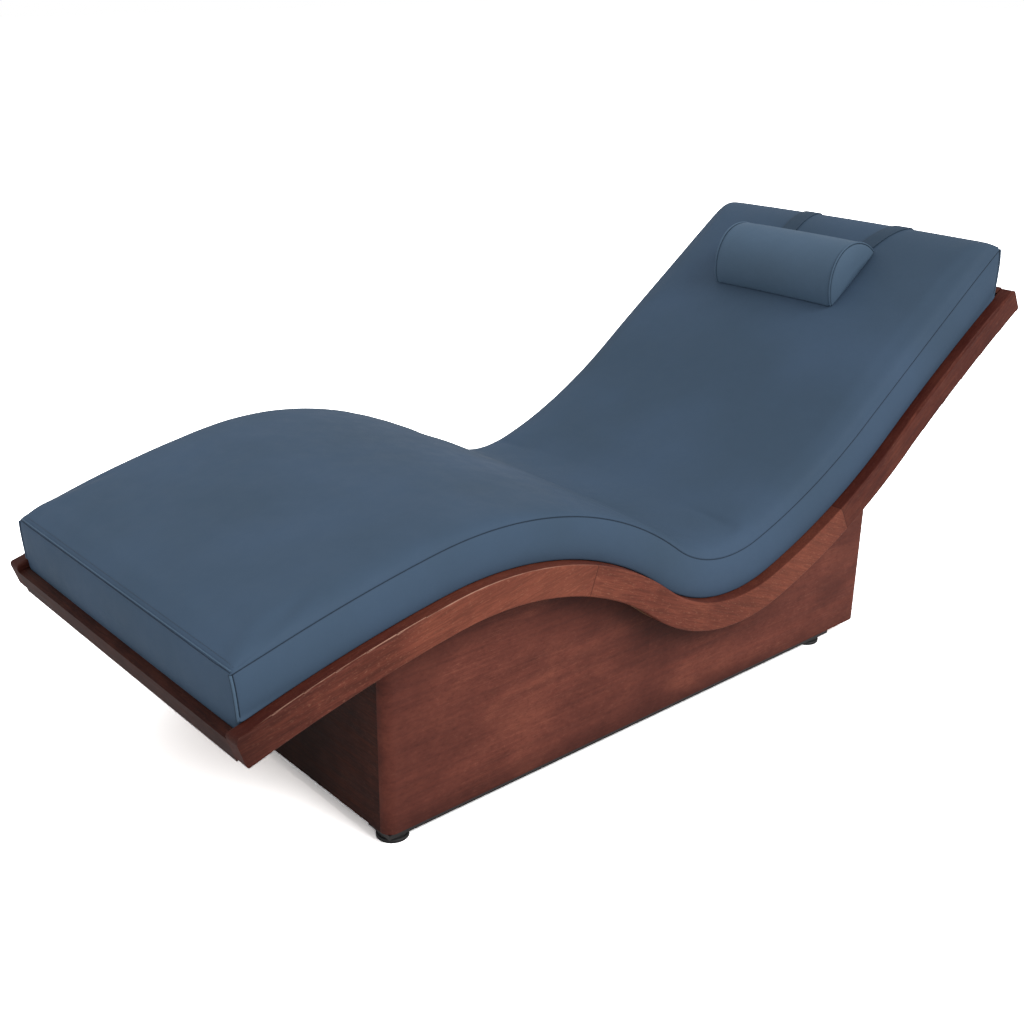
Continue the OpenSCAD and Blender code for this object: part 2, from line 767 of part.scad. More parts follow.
// Cloth that closes the cover below, from edge to edge
function underside_section(s) = let (w = inner_w - fit, d = cushion_bed + lift(s) - fit)
  [cushion_at(s, -w, d - lining_t), cushion_at(s, -w, d), cushion_at(s, 0, d), cushion_at(s, w, d),
    cushion_at(s, w, d - lining_t)];

module cushion_underside()
  color(black) closed_form([for (s = cushion_s) underside_section(moved_in(s, 2 * cover_t))]);

module grip_strips() {
  color(black)
    translate([x_shift, 0, 0])
    for (s = [leg_grip_share * arc_len(0), starts[3] + back_grip_share * arc_len(3)])
      path_band(s - grip_w / 2, s + grip_w / 2, fit - deck_drop, fit + grip_t - deck_drop,
        -inner_w / 2, inner_w / 2);
}

// Straight back's frame: places are told along it from the cushion's head edge, and square to it
head_seam_p = let (p = cushion_at(cushion_s1, 0, seam_d(cushion_s1))) [p[0], p[2]];
bed_d = cushion_crown + fit;
function on_back(a, d) = head_seam_p + a * along(back_pitch) + d * square_to(back_pitch);

// Pillow: half-round sections across the lounger, each a share of the length and a share of the size
pillow_steps = 12;
pillow_shares = [[0, 0.4], [0.018, 0.8], [0.045, 1], [0.27, 1], [0.5, 1], [0.73, 1], [0.955, 1],
  [0.982, 0.8], [1, 0.4]];
roundness = 1.3;
function pillow_section(k, in) = let (
    y = pillow_side - pillow_len / 2 + in + k[0] * (pillow_len - 2 * in),
    half = k[1] * pillow_depth / 2 - in, h = k[1] * pillow_h - in)
  [for (j = [0:pillow_steps]) let (t = 180 * j / pillow_steps,
    p = on_back(-pillow_from_head - half * cos(t), bed_d + over + h * pow(sin(t), roundness)))
    [p[0], y, p[1]]];
pillow_outer = [for (k = pillow_shares) pillow_section(k, 0)];
pillow_inner = [for (k = pillow_shares) pillow_section(k, cover_t)];

module pillow_cover() color(vinyl) open_shell(pillow_outer, pillow_inner);

module pillow_foam() color(foam) closed_form(pillow_inner);

module pillow_underside() {
  half = pillow_depth / 2 - pillow_seam_inset;
  inset = pillow_seam_inset + pillow_shares[2][0] * pillow_len;
  p = on_back(-pillow_from_head, bed_d);
  color(vinyl)
    translate([p[0], pillow_side - pillow_len / 2 + inset, p[1]])
    rotate([0, -back_pitch, 0])
    translate([-half, 0, 0])
    cube([2 * half, pillow_len - 2 * inset, over]);
}

// Straps: from the pillow over the cushion's head edge and the rails' rear corner, then straight down
strap_front_share = 0.4;
corner = [rear_corner[0] + x_shift, rear_corner[1]];
hang_x = strap_x + x_shift;
hang_in = hang_x - strap_t / 2;
weight_z = corner[1] - strap_hang;
strap_mid = (strap_left + strap_right) / 2;
strap_start = fit + pillow_depth / 2 - pillow_from_head;
strap_turn = strap_front_share * strap_start;

// Line over the cushion's head edge, along its middle, and the cushion's height in the back's frame
edge_rows = [for (i = [5:-1:2]) cushion_outer[len(cushion_outer) - i]];
edge_line = [for (row = edge_rows) let (p = row[(len(row) - 1) / 2]) [p[0], p[2]]];
bed_heights = [for (p = edge_line) let (v = p - head_seam_p)
  [v * along(back_pitch), v * square_to(back_pitch)]];
function on_bed(a) = on_back(a, fit + lookup(a, bed_heights));

// Ribbon of the two straps through points [x, z], with its outer side to the left of its run, and
// the left strap moved sideways by a share of its slant at each point
module ribbons(line, slants) {
  last = len(line) - 1;
  way = [for (i = [0:last]) let (v = line[min(last, i + 1)] - line[max(0, i - 1)]) v / norm(v)];
  for (left = [0, 1]) {
    middle = [for (k = slants) left * (strap_left + k * strap_slant) + (1 - left) * strap_right];
    closed_form([for (i = [0:last])
      let (p = line[i], q = p + strap_t * [-way[i][1], way[i][0]], y0 = middle[i] - strap_w / 2,
        y1 = y0 + strap_w)
      [[p[0], y0, p[1]], [q[0], y0, q[1]], [q[0], middle[i], q[1]], [q[0], y1, q[1]], [p[0], y1, p[1]]]]);
  }
}

module front_straps()
  color(vinyl) ribbons([on_bed(strap_start), on_bed(strap_turn)], [1, strap_front_share]);

module edge_straps() {
  past_edge = [for (i = [2, 3]) edge_line[i] + fit * [1, 1]];
  color(vinyl)
    ribbons(concat([on_bed(strap_turn + fit), on_bed(bed_heights[1][0])], past_edge,
      [[hang_in - strap_t, corner[1] + 2 * strap_t], [hang_in, corner[1]], [hang_in, corner[1] - strap_w]]),
      [strap_front_share, 0, 0, 0, 0, 0, 0]);
}

module hanging_straps() {
  top = corner[1] - strap_w - fit;
  low = weight_z + weight_r + sleeve_t;
  color(vinyl)
    for (y = [strap_left, strap_right])
      translate([hang_in, y - strap_w / 2, low])
      cube([strap_t, strap_w, top - low]);
}

module weight_sleeve() {
  half = weight_len / 2 + sleeve_t;
  color(vinyl)
    translate([hang_x, strap_mid + half, weight_z])
    rotate([90, 0, 0])
    difference() {
      cylinder(h = 2 * half, r = weight_r + sleeve_t);
      translate([0, 0, sleeve_t - run_fit])
        cylinder(h = weight_len + 2 * run_fit, r = weight_r + run_fit);
    }
}

module weight_bar() {
  color(steel)
    translate([hang_x, strap_mid + weight_len / 2, weight_z])
    rotate([90, 0, 0])
    cylinder(h = weight_len, r = weight_r);
}

left_side_rail();
right_side_rail();
foot_end_rail();
head_end_rail();
end_rail_dowels();
deck_panel();
left_deck_cleat();
right_deck_cleat();
foot_cross_rail();
back_cross_rail();
head_cross_rail();
base_left_panel();
base_right_panel();
base_foot_panel();
base_head_panel();
foot_bulkhead();
head_bulkhead();
foot_corner_blocks();
head_corner_blocks();
head_foot_blocks();
left_runner();
right_runner();
runner_screws();
platform_bolts();
rail_inserts();
leveller_nuts();
foot_left_pad();
foot_right_pad();
head_left_pad();
head_right_pad();
foot_left_stem();
foot_right_stem();
head_left_stem();
head_right_stem();
cushion_cover();
cushion_foam();
cushion_underside();
grip_strips();
pillow_cover();
pillow_foam();
pillow_underside();
front_straps();
edge_straps();
hanging_straps();
weight_sleeve();
weight_bar();
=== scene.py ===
"""Spa relaxation lounger: soft goods, seams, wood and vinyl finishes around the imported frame."""
import math

import bmesh
import bpy
from mathutils import Matrix, Vector, noise
from mathutils.bvhtree import BVHTree


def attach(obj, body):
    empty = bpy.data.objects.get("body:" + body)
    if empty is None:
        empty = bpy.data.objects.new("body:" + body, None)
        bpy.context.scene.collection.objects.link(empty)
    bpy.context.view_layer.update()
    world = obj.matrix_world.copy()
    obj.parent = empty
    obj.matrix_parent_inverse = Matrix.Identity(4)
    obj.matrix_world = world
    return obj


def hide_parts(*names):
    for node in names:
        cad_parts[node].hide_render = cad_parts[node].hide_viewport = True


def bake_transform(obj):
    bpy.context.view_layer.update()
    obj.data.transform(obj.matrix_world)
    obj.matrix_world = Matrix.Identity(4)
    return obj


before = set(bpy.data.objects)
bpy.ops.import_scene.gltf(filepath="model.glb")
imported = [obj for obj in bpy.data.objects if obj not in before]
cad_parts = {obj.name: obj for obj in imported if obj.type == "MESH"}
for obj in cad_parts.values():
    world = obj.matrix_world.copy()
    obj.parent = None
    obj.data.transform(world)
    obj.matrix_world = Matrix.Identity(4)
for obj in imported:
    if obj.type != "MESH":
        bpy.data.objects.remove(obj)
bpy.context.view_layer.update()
scene = bpy.context.scene
mm = 0.001


# Camera, solved from the photograph's vanishing points: place in metres, then azimuth, elevation and roll in degrees.
CAMERA_AT = (-1.6902, -1.7772, 1.2923)
CAMERA_TURN = (-38.856, 22.384, -0.374)
CAMERA_LENS, CAMERA_SHIFT = 47.99, (0.0591, 0.0036)


def make_camera():
    az, el, roll = (math.radians(a) for a in CAMERA_TURN)
    back = Vector((math.sin(az) * math.cos(el), -math.cos(az) * math.cos(el), math.sin(el)))
    right = (-back).cross(Vector((0, 0, 1))).normalized()
    up = right.cross(-back)
    x = math.cos(roll) * right + math.sin(roll) * up
    y = -math.sin(roll) * right + math.cos(roll) * up
    data = bpy.data.cameras.new("camera")
    data.sensor_width = 36
    data.lens = CAMERA_LENS
    data.shift_x, data.shift_y = CAMERA_SHIFT
    cam = bpy.data.objects.new("camera", data)
    cam.matrix_world = Matrix.Translation(CAMERA_AT) @ Matrix((x, y, back)).transposed().to_4x4()
    scene.collection.objects.link(cam)
    scene.camera = cam


make_camera()

# Platform line, as in the part's source: five tangent arcs as (radius, sweep in degrees, side), in mm.
FOOT_H, FOOT_PITCH = 326.0, 17.5
ARCS = [(2600.0, 8.6, -1), (600.0, 48.0, -1), (300.0, 57.5, 1), (1150.0, 19.5, 1), (3500.0, 7.0, -1)]
X_SHIFT = -935.642
INNER_W = 350.0
RAIL_DEPTH = 54.0
DECK_DROP = 22.0
FIT = 0.3


def along(h):
    return Vector((math.cos(math.radians(h)), math.sin(math.radians(h))))


def square_to(h):
    return Vector((-math.sin(math.radians(h)), math.cos(math.radians(h))))


STARTS, HEADINGS, BEGINS = [0.0], [FOOT_PITCH], [Vector((0.0, FOOT_H))]
for r, sweep, side in ARCS:
    h = HEADINGS[-1]
    BEGINS.append(BEGINS[-1] + side * r * (square_to(h) - square_to(h + side * sweep)))
    STARTS.append(STARTS[-1] + r * math.radians(sweep))
    HEADINGS.append(h + side * sweep)
PATH_LEN = STARTS[-1]


def arc_of(s):
    return max(i for i in range(len(ARCS)) if i == 0 or s >= STARTS[i])


def heading(s):
    i = arc_of(s)
    return HEADINGS[i] + ARCS[i][2] * math.degrees((s - STARTS[i]) / ARCS[i][0])


def on_path(s, d):
    i = arc_of(s)
    r, _, side = ARCS[i]
    turned = math.degrees((s - STARTS[i]) / r)
    p = BEGINS[i] + side * r * (square_to(HEADINGS[i]) - square_to(HEADINGS[i] + side * turned))
    return p + d * square_to(heading(s))


def lookup(v, table):
    for (a, fa), (b, fb) in zip(table, table[1:]):
        if v <= b:
            k = max(0.0, (v - a) / (b - a))
            return fa + (fb - fa) * k
    return table[-1][1]


def smooth(k):
    k = min(1.0, max(0.0, k))
    return k * k * (3 - 2 * k)


def new_object(name, verts, faces, material, body):
    """Smooth-shaded piece with outward normals that rides on a body, when one is given."""
    mesh = bpy.data.meshes.new(name)
    mesh.from_pydata([tuple(v) for v in verts], [], faces)
    mesh.update()
    bm = bmesh.new()
    bm.from_mesh(mesh)
    bmesh.ops.recalc_face_normals(bm, faces=bm.faces)
    bm.to_mesh(mesh)
    bm.free()
    for p in mesh.polygons:
        p.use_smooth = True
    for m in material if isinstance(material, list) else [material]:
        mesh.materials.append(m)
    obj = bpy.data.objects.new(name, mesh)
    scene.collection.objects.link(obj)
    if body:
        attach(obj, body)
    return obj


def rings_mesh(rings):
    """Closed rings of equal count joined in a row, with a fan over each end."""
    n, m = len(rings), len(rings[0])
    verts = [p for ring in rings for p in ring]
    faces = []
    for i in range(n - 1):
        for j in range(m):
            k = (j + 1) % m
            faces.append((i * m + j, i * m + k, (i + 1) * m + k, (i + 1) * m + j))
    for i in (0, n - 1):
        verts.append(sum((Vector(p) for p in rings[i]), Vector()) / m)
        for j in range(m):
            faces.append((i * m + j, i * m + (j + 1) % m, len(verts) - 1))
    return verts, faces


def tube(points, radius, sides=8):
    """Round tube through points, closed at both ends."""
    verts, faces = [], []
    n = len(points)
    normal = None
    for i, p in enumerate(points):
        a, b = points[max(0, i - 1)], points[min(n - 1, i + 1)]
        t = (Vector(b) - Vector(a)).normalized()
        if normal is None:
            normal = t.orthogonal().normalized()
        normal = (normal - normal.dot(t) * t).normalized()
        other = t.cross(normal)
        for k in range(sides):
            w = 2 * math.pi * k / sides
            verts.append(Vector(p) + radius * (math.cos(w) * normal + math.sin(w) * other))
    for i in range(n - 1):
        for k in range(sides):
            a, b = i * sides + k, i * sides + (k + 1) % sides
            faces.append((a, b, b + sides, a + sides))
    faces.append(tuple(reversed(range(sides))))
    faces.append(tuple((n - 1) * sides + k for k in range(sides)))
    return verts, faces


def merged(parts):
    """One list of vertices and faces from many."""
    verts, faces = [], []
    for v, f in parts:
        base = len(verts)
        verts += v
        faces += [tuple(i + base for i in face) for face in f]
    return verts, faces


def resample(points, step):
    """Points at even steps along a line."""
    out = [Vector(points[0])]
    left = step
    for a, b in zip(points, points[1:]):
        a, b = Vector(a), Vector(b)
        length = (b - a).length
        at = 0.0
        while length - at >= left:
            at += left
            out.append(a.lerp(b, at / length))
            left = step
        left -= length - at
    return out


def stitch_row(points, stitch=4.2 * mm, gap=1.8 * mm, radius=0.42 * mm):
    """Row of short thread stitches along a line."""
    line = resample(points, (stitch + gap) / 4)
    parts = []
    for i in range(0, len(line) - 4, 4):
        a, b = line[i], line[i + 3]
        mid = (a + b) / 2
        parts.append(tube([a, a.lerp(mid, 0.35), mid.lerp(b, 0.65), b], radius, 5))
    return merged(parts)


# Materials, with colours written as sRGB levels of 255
def srgb(r, g, b):
    def lin(c):
        c /= 255
        return c / 12.92 if c <= 0.04045 else ((c + 0.055) / 1.055) ** 2.4
    return (lin(r), lin(g), lin(b), 1.0)


class Nodes:
    """Short way to build a node tree."""

    def __init__(self, name):
        self.mat = bpy.data.materials.new(name)
        self.mat.use_nodes = True
        self.tree = self.mat.node_tree
        self.tree.nodes.clear()
        self.out = self.tree.nodes.new("ShaderNodeOutputMaterial")
        self.bsdf = self.tree.nodes.new("ShaderNodeBsdfPrincipled")
        self.link(self.bsdf.outputs[0], self.out.inputs[0])
        self.coord = self.tree.nodes.new("ShaderNodeTexCoord").outputs["Object"]

    def link(self, a, b):
        self.tree.links.new(a, b)

    def node(self, kind, inputs=None, **props):
        n = self.tree.nodes.new(kind)
        for k, v in props.items():
            setattr(n, k, v)
        for k, v in (inputs or {}).items():
            if isinstance(v, bpy.types.NodeSocket):
                self.link(v, n.inputs[k])
            else:
                n.inputs[k].default_value = v
        return n

    def noise(self, vector, scale, detail=3.0, rough=0.55, distortion=0.0):
        return self.node("ShaderNodeTexNoise", {"Vector": vector, "Scale": scale, "Detail": detail,
                                                "Roughness": rough, "Distortion": distortion}).outputs["Fac"]

    def mapping(self, vector, scale=(1, 1, 1), rotation=(0, 0, 0), location=(0, 0, 0)):
        return self.node("ShaderNodeMapping", {"Vector": vector, "Scale": scale, "Rotation": rotation,
                                               "Location": location}).outputs[0]

    def ramp(self, fac, stops):
        n = self.node("ShaderNodeValToRGB", {"Fac": fac})
        ramp = n.color_ramp
        while len(ramp.elements) < len(stops):
            ramp.elements.new(0.5)
        for e, (pos, col) in zip(ramp.elements, stops):
            e.position = pos
            e.color = col if isinstance(col, tuple) else (col, col, col, 1.0)
        return n.outputs["Color"]

    def mix(self, fac, a, b, blend="MIX"):
        n = self.tree.nodes.new("ShaderNodeMix")
        n.data_type = "RGBA"
        n.blend_type = blend
        for socket, v in ((n.inputs[0], fac), (n.inputs[6], a), (n.inputs[7], b)):
            if isinstance(v, bpy.types.NodeSocket):
                self.link(v, socket)
            else:
                socket.default_value = v
        return n.outputs[2]

    def math(self, op, a, b=0.0):
        n = self.tree.nodes.new("ShaderNodeMath")
        n.operation = op
        for socket, v in ((n.inputs[0], a), (n.inputs[1], b)):
            if isinstance(v, bpy.types.NodeSocket):
                self.link(v, socket)
            else:
                socket.default_value = v
        return n.outputs[0]

    def dot(self, vector, axis):
        return self.node("ShaderNodeVectorMath", {0: vector, 1: axis}, operation="DOT_PRODUCT").outputs["Value"]

    def path_offset(self):
        """Height above the platform line in metres, arc by arc, from the object's own coordinates."""
        flat = self.node("ShaderNodeVectorMath", {0: self.coord, 1: (1, 0, 1)}, operation="MULTIPLY").outputs[0]
        x = self.dot(self.coord, (1, 0, 0))
        out = None
        for i, (r, sweep, side) in enumerate(ARCS):
            c = BEGINS[i] + side * r * square_to(HEADINGS[i])
            away = self.node("ShaderNodeVectorMath", {0: flat, 1: ((c[0] + X_SHIFT) * mm, 0, c[1] * mm)},
                             operation="DISTANCE").outputs["Value"]
            d = self.math("MULTIPLY", self.math("SUBTRACT", away, r * mm), -side)
            past = self.math("GREATER_THAN", x, (BEGINS[i][0] + X_SHIFT) * mm)
            if out is None:
                out = d
            else:
                out = self.math("ADD", out, self.math("MULTIPLY", past, self.math("SUBTRACT", d, out)))
        return out

    def bump(self, height, strength, distance, normal=None):
        inputs = {"Height": height, "Strength": strength, "Distance": distance}
        if normal is not None:
            inputs["Normal"] = normal
        return self.node("ShaderNodeBump", inputs).outputs[0]

    def finish(self, color=None, rough=None, normal=None, **fixed):
        for name, v in (("Base Color", color), ("Roughness", rough), ("Normal", normal)):
            if v is None:
                continue
            if isinstance(v, bpy.types.NodeSocket):
                self.link(v, self.bsdf.inputs[name])
            else:
                self.bsdf.inputs[name].default_value = v
        for name, v in fixed.items():
            self.bsdf.inputs[name.replace("_", " ")].default_value = v
        return self.mat


def vinyl_material(name="vinyl", light=(73, 93, 116), dark=(69, 88, 108)):
    n = Nodes(name)
    cloudy = n.noise(n.coord, 3.2, 3.0, 0.5)
    fine = n.noise(n.coord, 60.0, 4.0, 0.6)
    color = n.mix(n.ramp(cloudy, [(0.38, 0.0), (0.64, 1.0)]), srgb(*dark), srgb(*light))
    color = n.mix(n.math("MULTIPLY", fine, 0.12), color, srgb(54, 67, 82))
    cells = n.node("ShaderNodeTexVoronoi", {"Vector": n.coord, "Scale": 620.0, "Randomness": 1.0},
                   feature="DISTANCE_TO_EDGE").outputs["Distance"]
    grain = n.ramp(cells, [(0.0, 0.0), (0.22, 1.0)])
    pores = n.noise(n.coord, 1500.0, 2.0, 0.5)
    height = n.math("ADD", n.math("MULTIPLY", grain, 0.8), n.math("MULTIPLY", pores, 0.3))
    waves = n.noise(n.coord, 14.0, 2.0, 0.45)
    normal = n.bump(waves, 0.12, 0.004)
    normal = n.bump(height, 0.1, 0.0004, normal)
    rough = n.ramp(n.noise(n.coord, 25.0, 3.0, 0.6), [(0.3, 0.6), (0.7, 0.7)])
    return n.finish(color, rough, normal, Specular_IOR_Level=0.1)


def thread_material(name, rgb):
    n = Nodes(name)
    twist = n.node("ShaderNodeTexWave", {"Vector": n.coord, "Scale": 700.0, "Distortion": 1.0},
                   bands_direction="DIAGONAL").outputs["Fac"]
    color = n.mix(twist, srgb(*(int(c * 0.8) for c in rgb)), srgb(*rgb))
    return n.finish(color, 0.6, n.bump(twist, 0.3, 0.0002))


def lining_material():
    n = Nodes("lining")
    weave = n.node("ShaderNodeTexChecker", {"Vector": n.coord, "Scale": 900.0}).outputs["Fac"]
    fuzz = n.noise(n.coord, 300.0, 3.0)
    color = n.mix(weave, srgb(34, 34, 37), srgb(26, 26, 28))
    color = n.mix(n.math("MULTIPLY", fuzz, 0.3), color, srgb(48, 48, 52))
    return n.finish(color, 0.85, n.bump(weave, 0.3, 0.0003))


def wood_grain(n, turned, coord):
    """Stained, mottled wood with its grain along X of the turned coordinates: colour, streaks and pores."""
    streaks = n.noise(n.mapping(turned, scale=(1.6, 26, 26)), 3.0, 6.0, 0.6, 0.6)
    pores = n.noise(n.mapping(turned, scale=(14, 240, 240)), 2.0, 3.0, 0.55)
    mottle = n.noise(n.mapping(coord, scale=(1, 1.3, 1.3)), 7.0, 5.0, 0.62, 0.5)
    speckle = n.noise(n.mapping(turned, scale=(60, 160, 160)), 2.2, 4.0, 0.7)
    base = n.ramp(streaks, [(0.3, srgb(82, 37, 28)), (0.5, srgb(114, 57, 45)), (0.7, srgb(143, 77, 58))])
    blotch = n.ramp(mottle, [(0.3, srgb(70, 32, 26)), (0.5, srgb(110, 57, 46)), (0.72, srgb(154, 87, 66))])
    color = n.mix(0.5, base, blotch)
    color = n.mix(n.math("MULTIPLY", n.ramp(pores, [(0.42, 1.0), (0.56, 0.0)]), 0.35), color, srgb(38, 18, 15))
    color = n.mix(n.math("MULTIPLY", n.ramp(speckle, [(0.56, 0.0), (0.72, 1.0)]), 0.4), color, srgb(176, 122, 98))
    return color, streaks, pores


def wood_finish(n, turned, color, streaks, pores, tone):
    if tone != 1.0:
        color = n.mix(1.0, color, (tone, tone, tone, 1.0), "MULTIPLY")
    normal = n.bump(pores, 0.12, 0.0006)
    normal = n.bump(n.noise(n.mapping(turned, scale=(3, 40, 40)), 2.0, 3.0), 0.08, 0.0012, normal)
    return n.finish(color, n.ramp(streaks, [(0.3, 0.5), (0.7, 0.62)]), normal, Specular_IOR_Level=0.12)


def wood_material(name, rotation, tone):
    n = Nodes(name)
    turned = n.mapping(n.coord, rotation=rotation)
    color, streaks, pores = wood_grain(n, turned, n.coord)
    return wood_finish(n, turned, color, streaks, pores, tone)


PLANK_JOINTS = (688.0, 1396.0)
# tint, wear, the painted highlight and the painted shade are placed along the rail by the distance from its foot end,
# in metres or as a share of its whole length
FOOT_END, PER_LENGTH = 0.95, 0.526


def rail_material(name):
    """Side rail of three planks glued end to end, with outer arrises lightened for wear and as a painted highlight,
    painted shade towards the foot end, and a darker top face.
    """
    n = Nodes(name)
    joints = []
    for s in PLANK_JOINTS:
        way, at = along(heading(s)), on_path(s, 0)
        along_rail = n.dot(n.coord, (way[0], 0, way[1]))
        joints.append(n.math("SUBTRACT", along_rail, ((at[0] + X_SHIFT) * way[0] + at[1] * way[1]) * mm))
    turned = n.mapping(n.coord, rotation=(0, math.radians(10), 0))
    for joint, angle in zip(joints, (-24, 38)):
        other = n.mapping(n.coord, rotation=(0, math.radians(angle), 0), location=(0.4, 0.2, 0.1))
        turned = n.mix(n.math("GREATER_THAN", joint, 0.0), turned, other)
    color, streaks, pores = wood_grain(n, turned, n.coord)
    far = n.math("ADD", n.dot(n.coord, (1, 0, 0)), FOOT_END)
    fresh = n.ramp(n.math("MULTIPLY", far, PER_LENGTH),
                   [(0.0, 0.0), (0.158, 0.1), (0.326, 0.3), (0.38, 0.1), (0.55, 0.12), (0.62, 0.24), (0.7, 0.2),
                    (0.73, 0.0)])
    color = n.mix(fresh, color, srgb(172, 100, 76))
    # painted shade: the rail darkens towards its foot end, which stands in shadow
    color = n.mix(n.ramp(far, [(0.0, 0.85), (0.03, 0.72), (0.12, 0.25), (0.3, 0.0)]), color, srgb(48, 20, 15))
    color = n.mix(n.math("MULTIPLY", n.math("GREATER_THAN", joints[1], 0.0), 0.52), color, srgb(66, 24, 18))
    normal_xyz = n.node("ShaderNodeSeparateXYZ", {"Vector": n.node("ShaderNodeNewGeometry").outputs["Normal"]})
    sideways = n.math("ABSOLUTE", normal_xyz.outputs["Y"])
    wear_and_sheen = n.noise(n.mapping(n.coord, scale=(9, 30, 9)), 2.0, 4.0, 0.6)
    depth = n.math("ADD", n.path_offset(), n.math("MULTIPLY", n.math("SUBTRACT", wear_and_sheen, 0.5), 0.0012))
    near_top = n.ramp(n.math("ADD", n.math("MULTIPLY", depth, 100.0), 0.5), [(0.37, 0.0), (0.44, 1.0)])
    edge = n.math("MULTIPLY", near_top, n.math("GREATER_THAN", sideways, 0.25))
    # the arris is lightened for wear and as a painted highlight, which shows only on the stretch near the foot end
    # where the light catches it
    wear_and_sheen_by_place = n.ramp(far, [(0.04, 0.1), (0.12, 1.0), (0.42, 1.0), (0.62, 0.3), (0.75, 0.0)])
    edge = n.math("MULTIPLY", edge, wear_and_sheen_by_place)
    color = n.mix(n.math("MULTIPLY", edge, n.ramp(wear_and_sheen, [(0.38, 0.3), (0.62, 0.8)])), color, srgb(206, 160, 138))
    top = n.math("MULTIPLY", n.math("GREATER_THAN", normal_xyz.outputs["Z"], 0.6), n.math("LESS_THAN", sideways, 0.3))
    color = n.mix(n.math("MULTIPLY", top, 0.4), color, srgb(66, 22, 16))
    for joint in joints:
        line = n.ramp(n.math("MULTIPLY", n.math("ABSOLUTE", joint), 400.0), [(0.2, 1.0), (0.5, 0.0)])
        color = n.mix(n.math("MULTIPLY", line, 0.55), color, srgb(40, 18, 14))
    return wood_finish(n, turned, color, streaks, pores, 1.0)


def base_material(name):
    """Veneered base: clouded stain, a painted shadow under the rail's overhang, darker towards the bottom, fine
    scratches.
    """
    n = Nodes(name)
    streaks = n.noise(n.mapping(n.coord, scale=(0.7, 24, 44)), 3.0, 7.0, 0.62, 0.3)
    pores = n.noise(n.mapping(n.coord, scale=(22, 380, 380)), 2.0, 3.0, 0.55)
    mottle = n.noise(n.mapping(n.coord, scale=(0.8, 1.2, 1.5)), 9.0, 8.0, 0.6, 0.8)
    flecks = n.noise(n.mapping(n.coord, scale=(0.6, 1, 1.2)), 160.0, 5.0, 0.7)
    color = n.mix(0.5, n.ramp(streaks, [(0.34, srgb(96, 50, 41)), (0.66, srgb(128, 69, 56))]),
                  n.ramp(mottle, [(0.3, srgb(84, 43, 36)), (0.5, srgb(112, 60, 50)), (0.7, srgb(138, 78, 62))]))
    color = n.mix(n.ramp(flecks, [(0.36, 0.25), (0.48, 0.0)]), color, srgb(58, 27, 23))
    color = n.mix(n.ramp(flecks, [(0.56, 0.0), (0.72, 0.22)]), color, srgb(168, 104, 84))
    clouds = n.noise(n.mapping(n.coord, scale=(1, 1, 1.6)), 4.2, 4.0, 0.55, 0.6)
    color = n.mix(n.ramp(clouds, [(0.36, 0.5), (0.62, 0.0)]), color, srgb(72, 36, 31))
    # painted shadow under the rail's overhang, and darker towards the bottom, both broken up in patches
    gap = n.math("ADD", n.path_offset(), RAIL_DEPTH * mm)
    under = n.ramp(n.math("MULTIPLY", gap, -10.0), [(0.0, 0.88), (0.18, 0.66), (0.45, 0.28), (0.85, 0.0)])
    low = n.ramp(n.math("MULTIPLY", n.dot(n.coord, (0, 0, 1)), 10.0), [(0.2, 0.5), (0.62, 0.0)])
    patchy = n.ramp(n.noise(n.coord, 9.0, 3.0), [(0.3, 0.75), (0.7, 1.0)])
    color = n.mix(n.math("MULTIPLY", n.math("MAXIMUM", under, low), patchy), color, srgb(44, 20, 17))
    wave = n.noise(n.mapping(n.coord, rotation=(0, math.radians(18), 0), scale=(1.2, 60, 60)), 3.0, 2.0, 0.5, 2.5)
    scratch = n.ramp(n.math("ABSOLUTE", n.math("SUBTRACT", wave, 0.5)), [(0.0, 0.3), (0.012, 0.0)])
    color = n.mix(n.math("MULTIPLY", scratch, n.ramp(clouds, [(0.45, 0.0), (0.6, 1.0)])), color, srgb(170, 108, 84))
    return wood_finish(n, n.coord, color, streaks, pores, 1.0)


def base_end_material(name):
    """Foot panel in the platform's shade, darkest towards its middle."""
    n = Nodes(name)
    turned = n.mapping(n.coord, rotation=(0, 0, math.pi / 2))
    color, streaks, pores = wood_grain(n, turned, n.coord)
    y = n.math("ABSOLUTE", n.dot(n.coord, (0, 1, 0)))
    color = n.mix(1.0, color, n.ramp(n.math("MULTIPLY", y, 3.0), [(0.4, 0.1), (0.96, 0.3)]), "MULTIPLY")
    return wood_finish(n, turned, color, streaks, pores, 1.0)


def plain_wood_material(name, a, b):
    n = Nodes(name)
    grain = n.noise(n.mapping(n.coord, scale=(2, 30, 30)), 3.0, 5.0, 0.6, 0.4)
    plies = n.noise(n.mapping(n.coord, scale=(4, 4, 4)), 9.0, 3.0)
    color = n.mix(grain, srgb(*a), srgb(*b))
    color = n.mix(n.math("MULTIPLY", plies, 0.35), color, srgb(*(int(c * 0.82) for c in a)))
    return n.finish(color, 0.6, n.bump(grain, 0.15, 0.0008))


def plastic_material(name, rgb, roughness):
    n = Nodes(name)
    speck = n.noise(n.coord, 240.0, 3.0)
    color = n.mix(speck, srgb(*rgb), srgb(*(min(255, int(c * 1.4) + 4) for c in rgb)))
    rough = n.ramp(n.noise(n.coord, 40.0, 3.0), [(0.3, roughness - 0.06), (0.7, roughness + 0.08)])
    return n.finish(color, rough, n.bump(speck, 0.12, 0.0003))


def steel_material():
    n = Nodes("steel")
    brush = n.noise(n.mapping(n.coord, scale=(40, 40, 900)), 2.0, 3.0)
    color = n.mix(brush, srgb(150, 152, 156), srgb(186, 188, 192))
    rough = n.ramp(brush, [(0.3, 0.28), (0.7, 0.42)])
    return n.finish(color, rough, n.bump(brush, 0.08, 0.0002), Metallic=1.0)


